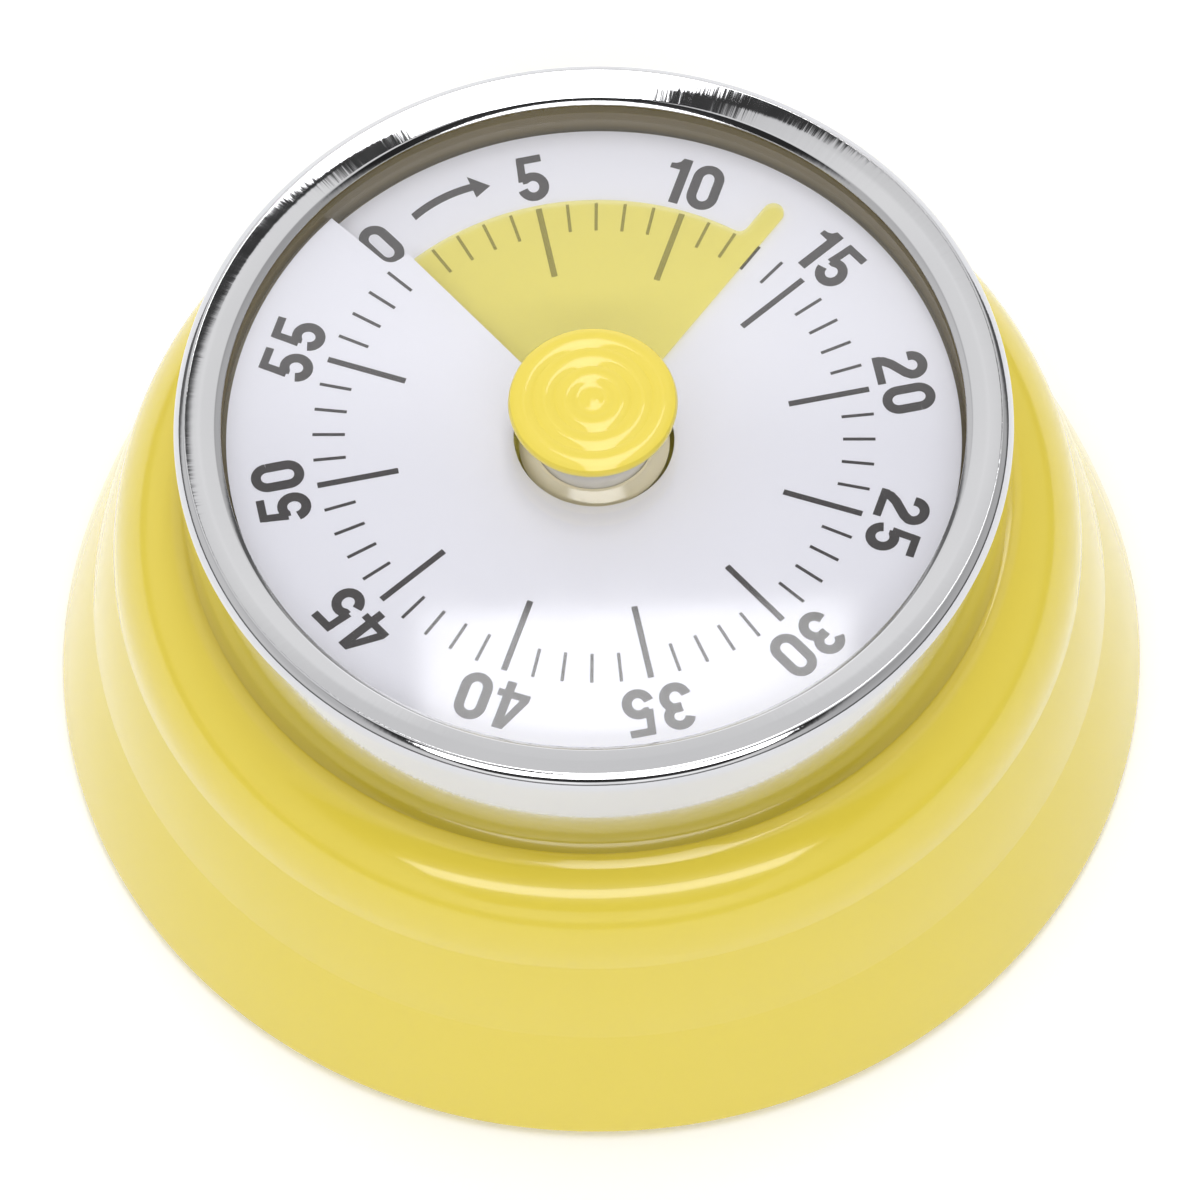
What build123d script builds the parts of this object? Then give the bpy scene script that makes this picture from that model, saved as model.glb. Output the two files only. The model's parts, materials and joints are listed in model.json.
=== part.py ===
"""Sixty-minute mechanical kitchen timer whose yellow time disc winds out through a slit in its dial.

Millimetres. +Z is the dial axis, the origin is the centre of the resting face, and +Y points away
from the user. A dial angle is counted clockwise from the zero line, as the minutes are, six degrees
a minute, and the timer is shown set to thirteen minutes.
"""

import os
from math import acos, atan2, cos, degrees, pi, radians, sin, tan

from build123d import *

os.makedirs("parts", exist_ok=True)

# Housing, as (radius, height) of its creases
FOOT = (42.15, 0.5)
LOWER_CREASE = (39.06, 10.7)
UPPER_CREASE = (37.1, 18.1)
SHOULDER_TOP = (32.2, 25.5)
FOOT_RISE = 0.2
RING_RISE = 0.17
SHOULDER_RISE = 1.386
NECK_FOOT_RADIUS = 31.05
NECK_TOP_RADIUS = 30.85
NECK_BORE = 29.65
NECK_TOP = 34.9
NECK_FOOT = 25.4
LEDGE_BORE = 24.5
LEDGE_TOP = 29.2
LEDGE_BOTTOM = 27.8
CREASE_FILLET = 0.9
WALL = 2.2

# Back cover
COVER_RADIUS = 39.7
COVER_BOTTOM = 0.8
COVER_TOP = 2.85
COVER_SEAT = 38.0
COVER_GAP = 0.1
BOSS_ORBIT = 35.4
BOSS_RADIUS = 3.2
BOSS_TOP = 10.5
BOSS_ANGLES = (90, 210, 330)
CASE_SCREW_RADIUS = 1.2
CASE_SCREW_TIP = 8.3
CASE_HEAD_RADIUS = 2.3
SINK_ANGLE = 90
CROSS_WIDTH = 0.5
CROSS_DEPTH = 0.6
SOUND_SLOTS = 10
SOUND_SLOT_ORBIT = 9.5
SOUND_SLOT_LENGTH = 7.0
SOUND_SLOT_WIDTH = 1.6
MAGNET_RADIUS = 6.0
MAGNET_HEIGHT = 2.0
MAGNET_ORBIT = 21.5
MAGNET_ANGLES = (0, 180)
MAGNET_FACE = 0.3
MAGNET_CHAMFER = 0.2
GRIP_INNER = 29.0
GRIP_OUTER = 32.5
GRIP_RECESS = 0.75

# Bezel, a ring drawn from plated sheet
BEZEL_SHEET = 0.5
BEZEL_FOOT = (31.6, 25.75)
BEZEL_SHOULDER = (31.4, 35.9)
BEZEL_RIDGE = (30.85, 36.9)
BEZEL_LIP = (28.6, 36.5)
BEZEL_MOUTH = (28.1, 36.05)

# Lens
LENS_RADIUS = 30.5
LENS_BOTTOM = 34.95
LENS_THICKNESS = 0.95
LENS_HOLE = 4.75

# Dial: one sheet, slit along the zero line, that climbs clockwise as a shallow screw
ZERO_LINE = 129.92  # anticlockwise from +X
DIAL_PITCH = 1.64
DIAL_ZERO_HEIGHT = 32.58
DIAL_THICKNESS = 0.45
DIAL_RADIUS = 27.7
DIAL_HOLE = 6.06
TONGUE_ANGLE = 4.6  # the slit steps back by this much outside the time disc, to show the pointer
TONGUE_INNER = 21.35
TONGUE_CORNER = 1.0
CARRIER_BORE = 28.05
CARRIER_RADIUS = 29.6
RAMP_BORE = 25.8
RAMP_DEPTH = 5.0
RAMP_GAP = 0.02
SLIT_GAP_ANGLE = 0.2

# Time disc, parallel to the dial, above it clockwise of the slit and below it elsewhere
SET_MINUTES = 13
DEGREES_PER_MINUTE = 6
DISC_RADIUS = 21.2
DISC_BORE = 5.3
DISC_THICKNESS = 0.3
DISC_LIFT = 0.2
DISC_SPAN = 352
POINTER_WIDTH = 1.6
POINTER_TIP = 24.9
POINTER_FILLET = 0.7

# Knob
STEM_RADIUS = 4.43
STEM_BOTTOM = 30.4
STEM_TOP = 38.6
KEYWAY_WIDTH = 1.1
KEYWAY_FLOOR = 3.95
KEYWAY_TOP = 34.9
CAP_RADIUS = 6.37
CAP_BOTTOM = 38.15
CAP_EDGE = 38.65
CAP_FACE = 39.15
CAP_RECESS_RADIUS = 4.46
RIDGE_HEIGHT = 0.18
RIDGE_FEET = (1.35, 2.9, 4.5, 6.0)
HUB_BOTTOM = 31.35
HUB_TOP = 33.55
HUB_RADIUS = 5.7
HUB_TOP_RADIUS = 4.95
HUB_FLARE_FOOT = 32.6
HUB_BORE = 4.53
KEY_WIDTH = 0.9
KEY_TIP = 4.08

# Movement frame
TOP_PLATE_BOTTOM = 26.0
TOP_PLATE_TOP = 27.0
TOP_PLATE_RADIUS = 28.5
BACK_PLATE_BOTTOM = 10.0
BACK_PLATE_TOP = 11.0
BACK_PLATE_RADIUS = 27.0
PILLAR_RADIUS = 1.8
PILLAR_ORBIT = 24.6
PILLAR_ANGLES = (5, 88, 195, 262)
PLATE_SCREW_RADIUS = 0.9
PILLAR_HOLE_BOTTOM = 22.0
PILLAR_SCREW_TIP = 23.0
PLATE_HEAD_RADIUS = 1.7
PLATE_HEAD_HEIGHT = 0.7
SLOT_WIDTH = 0.4
SLOT_DEPTH = 0.35
PILLAR_TENON_RADIUS = 1.2
PILLAR_TENON_BOTTOM = 9.7
MOUNT_ORBIT = 26.4
MOUNT_ANGLES = (30, 158, 228)
MOUNT_SCREW_RADIUS = 0.8
MOUNT_SCREW_TIP = 28.8
MOUNT_BOSS_RADIUS = 2.0

# Main arbor and what turns with it
ARBOR_RADIUS = 2.0
ARBOR_PIVOT_RADIUS = 1.5
ARBOR_BOTTOM = 9.6
ARBOR_SHOULDER = 30.35
ARBOR_HEX_FLATS = 2.8
ARBOR_TOP = 33.4
FLANGE_RADIUS = 3.6
FLANGE_BOTTOM = 16.5
MAIN_WHEEL_BOTTOM = 17.1
RUNNING_GAP = 0.05
BUSH_RADIUS = 3.2
BUSH_FLANGE_RADIUS = 4.2
BUSH_BOTTOM = 25.4
BUSH_TOP = 28.4
SLIP_SPRING_BOTTOM = 18.05
SLIP_SPRING_TOP = 18.7
SLIP_SPRING_THICKNESS = 0.2
SLIP_SPRING_FOOT = 5.0
SLIP_SPRING_CROWN = 3.4
COLLAR_RADIUS = 3.2
COLLAR_TOP = 19.4
STRIKE_CAM_BOTTOM = 21.6
STRIKE_CAM_TOP = 22.4
STRIKE_CAM_RADIUS = 3.4
STRIKE_LOBE_TIP = 5.0
STRIKE_LOBE_WIDTH = 1.4
STOP_DISC_BOTTOM = 23.4
STOP_DISC_TOP = 24.4
STOP_DISC_RADIUS = 4.6
STOP_ORBIT = 9.0
STOP_LUG_WIDTH = 0.9
STOP_LUG_TIP = 9.7
STOP_POST_RADIUS = 0.45
STOP_POST_BOTTOM = 23.1
STOP_POST_ANGLE = 0
STOP_LEAD = 6.0  # half of the twelve degrees that the knob can't turn
STRIKE_LEAD = 8.0  # the lobe has passed the hammer's tail by this much at zero

# Mainspring, semicircles about two centres
SPRING_STRIP = 0.3
SPRING_BOTTOM = 12.2
SPRING_TOP = 16.0
SPRING_INNER_RADIUS = 2.5
SPRING_STEP = 0.35  # growth of the radius in half a turn
SPRING_HALF_TURNS = 23  # odd, so that the strip ends at -X, where its post stands
SPRING_POST_RADIUS = 0.9

# Wheel train: teeth, module, and where each arbor stands, as (orbit, angle)
PRESSURE_ANGLE = 20
PINION_TEETH = 8
MAIN_TEETH, MAIN_MODULE = 72, 0.35
SECOND_TEETH, SECOND_MODULE = 60, 0.32
THIRD_TEETH, THIRD_MODULE = 56, 0.3
WHEEL_ADDENDUM, WHEEL_DEDENDUM = 0.45, 1.2
PINION_ADDENDUM, PINION_DEDENDUM = 0.95, 0.75
TOOTH_THINNING = 0.1  # taken off each tooth's width, as a share of the module
WHEEL_THICKNESS = 0.9
RIM_DEPTH = 2.2
MAIN_HUB = 5.4
MAIN_WINDOWS = 6
TRAIN_HUB = 2.0
TRAIN_WINDOWS = 4
PRESS_GAP = 0.01
SECOND_ANGLE = 150
THIRD_ORBIT = 15.0
ESCAPE_ORBIT = 16.0
BALANCE_ORBIT = 18.0
SECOND_WHEEL_BOTTOM = 19.7
THIRD_WHEEL_BOTTOM = 21.8
ESCAPE_WHEEL_BOTTOM = 24.1
SPINDLE_RADIUS = 0.7
PIVOT_RADIUS = 0.45
PINION_OVERHANG = 0.4

# Escapement
ESCAPE_TEETH = 16
ESCAPE_TIP = 4.5
ESCAPE_ROOT = 3.5
ESCAPE_TOOTH_FOOT = 9.0  # degrees
ESCAPE_TOOTH_TIP = 2.0
ESCAPE_WHEEL_THICKNESS = 0.8
PALLET_LEVER_BOTTOM = 25.1
PALLET_LEVER_THICKNESS = 0.5
PALLET_ARM_WIDTH = 1.0
PALLET_PIN_LENGTH = 1.1
BALANCE_REACH = 6.5
PALLET_PIN_RADIUS = 0.15
PALLET_CLEARANCE = 0.2
PALLET_SPAN_TEETH = 3.5
BALANCE_HALF_LENGTH = 4.6
BALANCE_BOTTOM = 13.8
BALANCE_TOP = 15.4
BALANCE_WIDTH = 1.8
BALANCE_WEIGHT_RADIUS = 1.5
BALANCE_HUB_RADIUS = 1.4

# Bell and hammer
BELL_RADIUS = 22.0
BELL_WALL = 0.8
BELL_BOTTOM = 4.0
BELL_RIM = 9.3
BELL_CORNER = 3.0
BELL_HOLE = 1.4
BELL_STUD_RADIUS = 3.0
BELL_SCREW_RADIUS = 1.2
BELL_SCREW_TIP = 8.0
BELL_HEAD_RADIUS = 2.4
BELL_HEAD_HEIGHT = 0.9
HAMMER_ORBIT = 19.0
HAMMER_ANGLE = -60
HAMMER_HEAD_RADIUS = 1.6
HAMMER_HEAD_BOTTOM = 6.6
HAMMER_REST_GAP = 0.5
HAMMER_HEAD_CHAMFER = 0.3
HAMMER_SPRING_LEG = 3.0
HAMMER_HEAD_ANGLE = -80
HAMMER_ARM_BOTTOM = 8.4
HAMMER_ARM_TOP = 9.2
HAMMER_ARM_WIDTH = 1.4
HAMMER_TAIL_CLEARANCE = 0.15
HAMMER_SPRING_WIRE = 0.15
HAMMER_SPRING_RADIUS = 1.3
HAMMER_SPRING_BOTTOM = 12.5
HAMMER_SPRING_PITCH = 0.5
HAMMER_SPRING_TURNS = 4

FULL_TURN = 360
CUT_MARGIN = 1.0  # how far a cut runs on past what it removes
SET_ANGLE = SET_MINUTES * DEGREES_PER_MINUTE


def around(radius, angle):
    """The point at a radius and an anticlockwise angle from +X."""
    return (radius * cos(radians(angle)), radius * sin(radians(angle)))


def ring_of(orbit, angles):
    """Points at one radius and a list of angles."""
    return [around(orbit, angle) for angle in angles]


def direction(start, end):
    """The anticlockwise angle of the line from one point to another."""
    return degrees(atan2(end[1] - start[1], end[0] - start[0]))


def next_orbit_angle(orbit, angle, next_orbit, spacing):
    """The angle of an arbor on its own orbit that stands a spacing clockwise of another."""
    cosine = (orbit**2 + next_orbit**2 - spacing**2) / (2 * orbit * next_orbit)
    return angle - degrees(acos(cosine))


def bulge(start, end, rise):
    """The middle of an arc that rises out of the line from start to end, to its left."""
    start, end = Vector(*start), Vector(*end)
    chord = end - start
    outward = Vector(-chord.Y, chord.X).normalized()
    return (start + end) / 2 + outward * rise


def gear(teeth, module, addendum, dedendum):
    """The outline of a spur gear with one tooth centred on +X. Its flanks are arcs through three
    points of the involute, and run straight to the centre below the base circle."""
    pitch_radius = teeth * module / 2
    base = pitch_radius * cos(radians(PRESSURE_ANGLE))
    root = pitch_radius - dedendum * module
    tip = pitch_radius + addendum * module
    foot = max(base, root)
    middle = (foot + tip) / 2

    def involute(radius):
        roll = acos(min(base / radius, 1))
        return tan(roll) - roll

    def half_angle(radius):
        at_pitch = (pi / 2 - TOOTH_THINNING) / teeth
        return degrees(at_pitch + involute(pitch_radius) - involute(radius))

    with BuildSketch() as outline:
        with BuildLine():
            for tooth in range(teeth):
                centre = tooth * FULL_TURN / teeth
                following = centre + FULL_TURN / teeth
                right = [around(r, centre - half_angle(r)) for r in (foot, middle, tip)]
                left = [around(r, centre + half_angle(r)) for r in (tip, middle, foot)]
                if root < base:
                    Line(around(root, centre - half_angle(foot)), right[0])
                    Line(left[2], around(root, centre + half_angle(foot)))
                ThreePointArc(*right)
                Line(right[2], left[0])
                ThreePointArc(*left)
                Line(
                    around(root, centre + half_angle(foot)),
                    around(root, following - half_angle(foot)),
                )
        make_face()
    return outline.sketch


def dial_height(angle):
    """The height of the dial's upper face at a dial angle."""
    return DIAL_ZERO_HEIGHT + DIAL_PITCH * angle / FULL_TURN


def radial_plane(angle, radius, height):
    """A plane across the dial's run: x points outwards, y up."""
    outward = Vector(*around(1, ZERO_LINE - angle))
    return Plane(
        origin=outward * radius + Vector(0, 0, height),
        x_dir=outward,
        z_dir=outward.cross(Vector(0, 0, 1)),
    )


def screw_sheet(inner, outer, start, end, top_offset, thickness):
    """A sheet parallel to the dial between two radii and two dial angles."""
    middle = (inner + outer) / 2
    height = dial_height(start) + top_offset
    climb = DIAL_PITCH * (end - start) / FULL_TURN
    helix = Helix(pitch=DIAL_PITCH, height=climb, radius=middle, lefthand=True)
    path = Pos(0, 0, height) * Rot(0, 0, ZERO_LINE - start) * helix
    with BuildPart() as sheet:
        with BuildSketch(radial_plane(start, middle, height)):
            Rectangle(outer - inner, thickness, align=(Align.CENTER, Align.MAX))
        sweep(path=path, is_frenet=True)
    return sheet.part


def save(builder, name):
    """Labels a finished piece and writes it."""
    builder.part.label = name
    export_step(builder.part, f"parts/{name}.step")


# The case ------------------------------------------------------------------------------------

bosses = ring_of(BOSS_ORBIT, BOSS_ANGLES)
magnet_centres = ring_of(MAGNET_ORBIT, MAGNET_ANGLES)
pillar_centres = ring_of(PILLAR_ORBIT, PILLAR_ANGLES)
mount_centres = ring_of(MOUNT_ORBIT, MOUNT_ANGLES)

with BuildPart() as housing_shell:
    with BuildSketch(Plane.XZ) as wall:
        with BuildLine():
            Line((NECK_FOOT_RADIUS, NECK_FOOT), SHOULDER_TOP)
            ThreePointArc(
                SHOULDER_TOP, bulge(UPPER_CREASE, SHOULDER_TOP, -SHOULDER_RISE), UPPER_CREASE
            )
            ThreePointArc(
                UPPER_CREASE, bulge(LOWER_CREASE, UPPER_CREASE, -RING_RISE), LOWER_CREASE
            )
            ThreePointArc(LOWER_CREASE, bulge(FOOT, LOWER_CREASE, -FOOT_RISE), FOOT)
            Polyline(
                FOOT,
                (COVER_RADIUS + COVER_GAP, FOOT[1]),
                (COVER_RADIUS + COVER_GAP, COVER_TOP + RUNNING_GAP),
                (COVER_SEAT, COVER_TOP + RUNNING_GAP),
                (LOWER_CREASE[0] - WALL, LOWER_CREASE[1]),
                (UPPER_CREASE[0] - WALL, UPPER_CREASE[1]),
                (NECK_BORE, SHOULDER_TOP[1] - WALL / 2),
                (NECK_BORE, LEDGE_BOTTOM),
                (LEDGE_BORE, LEDGE_BOTTOM),
                (LEDGE_BORE, LEDGE_TOP),
                (NECK_BORE, LEDGE_TOP),
                (NECK_BORE, NECK_TOP),
                (NECK_TOP_RADIUS, NECK_TOP),
                (NECK_FOOT_RADIUS, NECK_FOOT),
            )
        make_face()
        creases = [
            v
            for v in wall.vertices()
            if any(abs(v.X - r) + abs(v.Z - z) < RUNNING_GAP for r, z in (LOWER_CREASE, UPPER_CREASE))
        ]
        fillet(creases, CREASE_FILLET)
    revolve(axis=Axis.Z)
    with BuildSketch(Plane.XY.offset(COVER_TOP + RUNNING_GAP)):
        with Locations(*bosses):
            Circle(BOSS_RADIUS)
    extrude(amount=BOSS_TOP - COVER_TOP - RUNNING_GAP)
    with BuildSketch(Plane.XY.offset(COVER_TOP)):
        with Locations(*bosses):
            Circle(CASE_SCREW_RADIUS + RUNNING_GAP)
    extrude(amount=CASE_SCREW_TIP + RUNNING_GAP - COVER_TOP, mode=Mode.SUBTRACT)
    with BuildSketch(Plane.XY.offset(TOP_PLATE_TOP + RUNNING_GAP)):
        with Locations(*mount_centres):
            Circle(MOUNT_BOSS_RADIUS)
    extrude(amount=LEDGE_TOP - TOP_PLATE_TOP - RUNNING_GAP)
    with BuildSketch(Plane.XY.offset(TOP_PLATE_TOP)):
        with Locations(*mount_centres):
            Circle(MOUNT_SCREW_RADIUS + RUNNING_GAP)
    extrude(amount=MOUNT_SCREW_TIP + RUNNING_GAP - TOP_PLATE_TOP, mode=Mode.SUBTRACT)
save(housing_shell, "housing_shell")

with BuildPart() as bezel_ring:
    with BuildSketch(Plane.XZ):
        with BuildLine():
            outer_wall = Line(BEZEL_FOOT, BEZEL_SHOULDER)
            outer_turn = TangentArc(BEZEL_SHOULDER, BEZEL_RIDGE, tangent=outer_wall % 1)
            top_face = Line(BEZEL_RIDGE, BEZEL_LIP)
            inner_turn = TangentArc(BEZEL_LIP, BEZEL_MOUTH, tangent=top_face % 1)
            offset(amount=BEZEL_SHEET, side=Side.LEFT)
        make_face()
    revolve(axis=Axis.Z)
save(bezel_ring, "bezel_ring")

with BuildPart() as lens:
    with BuildSketch(Plane.XY.offset(LENS_BOTTOM)):
        Circle(LENS_RADIUS)
        Circle(LENS_HOLE, mode=Mode.SUBTRACT)
    extrude(amount=LENS_THICKNESS)
save(lens, "lens")

with BuildPart() as back_cover:
    with BuildSketch(Plane.XY.offset(COVER_BOTTOM)):
        Circle(COVER_RADIUS)
        with PolarLocations(SOUND_SLOT_ORBIT, SOUND_SLOTS):
            SlotOverall(SOUND_SLOT_LENGTH, SOUND_SLOT_WIDTH, mode=Mode.SUBTRACT)
    extrude(amount=COVER_TOP - COVER_BOTTOM)
    with BuildSketch(Plane.XY.offset(COVER_BOTTOM)):
        with Locations(*magnet_centres):
            Circle(MAGNET_RADIUS + COVER_GAP)
    extrude(amount=MAGNET_FACE + MAGNET_HEIGHT + COVER_GAP - COVER_BOTTOM, mode=Mode.SUBTRACT)
    with BuildSketch(Plane.XY.offset(COVER_BOTTOM)):
        Circle(GRIP_OUTER + COVER_GAP)
        Circle(GRIP_INNER - COVER_GAP, mode=Mode.SUBTRACT)
    extrude(amount=GRIP_RECESS, mode=Mode.SUBTRACT)
    with Locations(*[Plane((*p, COVER_BOTTOM), z_dir=(0, 0, -1)) for p in bosses]):
        CounterSinkHole(
            CASE_SCREW_RADIUS + COVER_GAP,
            CASE_HEAD_RADIUS + COVER_GAP,
            counter_sink_angle=SINK_ANGLE,
        )
save(back_cover, "back_cover")

with BuildPart() as case_screws:
    with BuildSketch(Plane.XY.offset(COVER_BOTTOM)):
        with Locations(*bosses):
            Circle(CASE_HEAD_RADIUS)
    extrude(amount=CASE_HEAD_RADIUS - CASE_SCREW_RADIUS, taper=SINK_ANGLE / 2)
    with BuildSketch(Plane.XY.offset(COVER_BOTTOM)):
        with Locations(*bosses):
            Circle(CASE_SCREW_RADIUS)
    extrude(amount=CASE_SCREW_TIP - COVER_BOTTOM)
    with BuildSketch(Plane.XY.offset(COVER_BOTTOM)):
        with Locations(*bosses):
            Rectangle(CASE_HEAD_RADIUS, CROSS_WIDTH)
            Rectangle(CROSS_WIDTH, CASE_HEAD_RADIUS)
    extrude(amount=CROSS_DEPTH, mode=Mode.SUBTRACT)
save(case_screws, "case_screws")

with BuildPart() as magnets:
    with BuildSketch(Plane.XY.offset(MAGNET_FACE)):
        with Locations(*magnet_centres):
            Circle(MAGNET_RADIUS)
    extrude(amount=MAGNET_HEIGHT)
    chamfer(magnets.edges().filter_by(GeomType.CIRCLE), MAGNET_CHAMFER)
save(magnets, "magnets")

with BuildPart() as grip_ring:
    with BuildSketch():
        Circle(GRIP_OUTER)
        Circle(GRIP_INNER, mode=Mode.SUBTRACT)
    extrude(amount=COVER_BOTTOM + GRIP_RECESS)
save(grip_ring, "grip_ring")


# The dial, its carrier and the time disc -----------------------------------------------------

notch_outer = DIAL_RADIUS + CUT_MARGIN
between_sheets = (dial_height(0) + dial_height(FULL_TURN)) / 2 - DIAL_THICKNESS / 2

dial_sheet = screw_sheet(DIAL_HOLE, DIAL_RADIUS, -TONGUE_ANGLE, FULL_TURN, 0, DIAL_THICKNESS)
with BuildPart() as dial:
    add(dial_sheet)
    with BuildSketch(Plane.XY.offset(between_sheets).rotated((0, 0, ZERO_LINE))):
        with BuildLine():
            Line((0, 0), (TONGUE_INNER, 0))
            Line((TONGUE_INNER, 0), around(TONGUE_INNER, 2 * TONGUE_ANGLE))
            Line(around(TONGUE_INNER, 2 * TONGUE_ANGLE), (0, 0))
        make_face()
    extrude(amount=-DIAL_PITCH, mode=Mode.SUBTRACT)
    with BuildSketch(Plane.XY.offset(between_sheets).rotated((0, 0, ZERO_LINE))) as notch:
        with BuildLine():
            Polyline(
                (TONGUE_INNER, -POINTER_WIDTH),
                (TONGUE_INNER, TONGUE_INNER * tan(radians(TONGUE_ANGLE))),
                (notch_outer, notch_outer * tan(radians(TONGUE_ANGLE))),
                (notch_outer, -POINTER_WIDTH),
                close=True,
            )
        make_face()
        fillet(notch.vertices().group_by(Axis.X)[0].sort_by(Axis.Y)[-1], TONGUE_CORNER)
    extrude(amount=DIAL_PITCH, mode=Mode.SUBTRACT)
save(dial, "dial")

ramp = screw_sheet(
    RAMP_BORE,
    (CARRIER_BORE + CARRIER_RADIUS) / 2,
    -TONGUE_ANGLE,
    FULL_TURN - TONGUE_ANGLE - SLIT_GAP_ANGLE,
    -DIAL_THICKNESS - RAMP_GAP,
    RAMP_DEPTH,
)
with BuildPart() as dial_carrier:
    add(ramp)
    with BuildSketch(Plane.XY.offset(LEDGE_TOP)):
        Circle(CARRIER_RADIUS)
    extrude(amount=-RAMP_DEPTH, mode=Mode.SUBTRACT)
    with BuildSketch(Plane.XY.offset(LEDGE_TOP)):
        Circle(CARRIER_RADIUS)
        Circle(CARRIER_BORE, mode=Mode.SUBTRACT)
    extrude(amount=NECK_TOP - LEDGE_TOP)
save(dial_carrier, "dial_carrier")

disc_sheet = screw_sheet(
    DISC_BORE,
    POINTER_TIP + POINTER_WIDTH,
    SET_ANGLE - DISC_SPAN,
    SET_ANGLE,
    DISC_LIFT + DISC_THICKNESS,
    DISC_THICKNESS,
)
with BuildPart() as time_disc:
    add(disc_sheet)
    with BuildSketch(
        Plane.XY.offset(HUB_BOTTOM - CUT_MARGIN).rotated((0, 0, ZERO_LINE - SET_ANGLE))
    ) as waste:
        Circle(POINTER_TIP + 2 * POINTER_WIDTH)
        Circle(DISC_RADIUS, mode=Mode.SUBTRACT)
        with Locations((POINTER_TIP / 2, POINTER_WIDTH / 2)):
            SlotOverall(POINTER_TIP, POINTER_WIDTH, mode=Mode.SUBTRACT)
        pointer_side = [v for v in waste.vertices() if abs(v.Y - POINTER_WIDTH) < RUNNING_GAP]
        fillet(min(pointer_side, key=lambda v: v.X), POINTER_FILLET)
    extrude(amount=LENS_BOTTOM - HUB_BOTTOM + CUT_MARGIN, mode=Mode.SUBTRACT)
save(time_disc, "time_disc")

with BuildPart() as disc_hub:
    with BuildSketch(Plane.XY.offset(HUB_BOTTOM)):
        Circle(HUB_RADIUS)
    extrude(amount=HUB_TOP - HUB_BOTTOM)
    rim = disc_hub.edges().filter_by(GeomType.CIRCLE).sort_by(Axis.Z)[-1]
    chamfer(rim, HUB_RADIUS - HUB_TOP_RADIUS, HUB_TOP - HUB_FLARE_FOOT)
    with BuildSketch(Plane.XY.offset(HUB_BOTTOM)):
        Circle(HUB_BORE)
        with PolarLocations((KEY_TIP + HUB_RADIUS) / 2, 2):
            Rectangle(HUB_RADIUS - KEY_TIP, KEY_WIDTH, mode=Mode.SUBTRACT)
    extrude(amount=HUB_TOP - HUB_BOTTOM, mode=Mode.SUBTRACT)
save(disc_hub, "disc_hub")


# The knob ------------------------------------------------------------------------------------

with BuildPart() as knob_stem:
    with BuildSketch(Plane.XY.offset(STEM_BOTTOM)):
        Circle(STEM_RADIUS)
    extrude(amount=STEM_TOP - STEM_BOTTOM)
    with BuildSketch(Plane.XY.offset(STEM_BOTTOM)):
        with PolarLocations(KEYWAY_FLOOR + CUT_MARGIN / 2, 2):
            Rectangle(CUT_MARGIN, KEYWAY_WIDTH)
    extrude(amount=KEYWAY_TOP - STEM_BOTTOM, mode=Mode.SUBTRACT)
    with BuildSketch(Plane.XY.offset(STEM_BOTTOM)):
        RegularPolygon(ARBOR_HEX_FLATS / 2 + RUNNING_GAP, 6, major_radius=False)
    extrude(amount=ARBOR_TOP + RUNNING_GAP - STEM_BOTTOM, mode=Mode.SUBTRACT)
save(knob_stem, "knob_stem")

with BuildPart() as knob_cap:
    with BuildSketch(Plane.XZ):
        with BuildLine():
            feet = [(radius, CAP_FACE) for radius in RIDGE_FEET]
            ThreePointArc(
                (0, CAP_FACE + RIDGE_HEIGHT / 2),
                (RIDGE_FEET[0] / 2, CAP_FACE + RIDGE_HEIGHT / 3),
                feet[0],
            )
            for inner_foot, outer_foot in zip(feet, feet[1:]):
                ThreePointArc(
                    inner_foot, bulge(inner_foot, outer_foot, RIDGE_HEIGHT), outer_foot
                )
            ThreePointArc(feet[-1], (CAP_RADIUS, CAP_EDGE), (RIDGE_FEET[-1], CAP_BOTTOM))
            Polyline(
                (RIDGE_FEET[-1], CAP_BOTTOM),
                (CAP_RECESS_RADIUS, CAP_BOTTOM),
                (CAP_RECESS_RADIUS, STEM_TOP),
                (0, STEM_TOP),
                (0, CAP_FACE + RIDGE_HEIGHT / 2),
            )
        make_face()
    revolve(axis=Axis.Z)
save(knob_cap, "knob_cap")


# The movement's frame ------------------------------------------------------------------------

second_orbit = (MAIN_TEETH + PINION_TEETH) * MAIN_MODULE / 2
third_spacing = (SECOND_TEETH + PINION_TEETH) * SECOND_MODULE / 2
escape_spacing = (THIRD_TEETH + PINION_TEETH) * THIRD_MODULE / 2
third_angle = next_orbit_angle(second_orbit, SECOND_ANGLE, THIRD_ORBIT, third_spacing)
escape_angle = next_orbit_angle(THIRD_ORBIT, third_angle, ESCAPE_ORBIT, escape_spacing)
balance_angle = next_orbit_angle(ESCAPE_ORBIT, escape_angle, BALANCE_ORBIT, BALANCE_REACH)

second_centre = around(second_orbit, SECOND_ANGLE)
third_centre = around(THIRD_ORBIT, third_angle)
escape_centre = around(ESCAPE_ORBIT, escape_angle)
balance_centre = around(BALANCE_ORBIT, balance_angle)
hammer_centre = around(HAMMER_ORBIT, HAMMER_ANGLE)
stop_centre = around(STOP_ORBIT, STOP_POST_ANGLE)
spring_turns = [SPRING_INNER_RADIUS + SPRING_STEP * n for n in range(SPRING_HALF_TURNS)]
spring_reach = spring_turns[-1] + SPRING_STRIP / 2
spring_post_centre = (-spring_reach - SPRING_POST_RADIUS - RUNNING_GAP, 0)
train_centres = [second_centre, third_centre, escape_centre, balance_centre]

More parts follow.
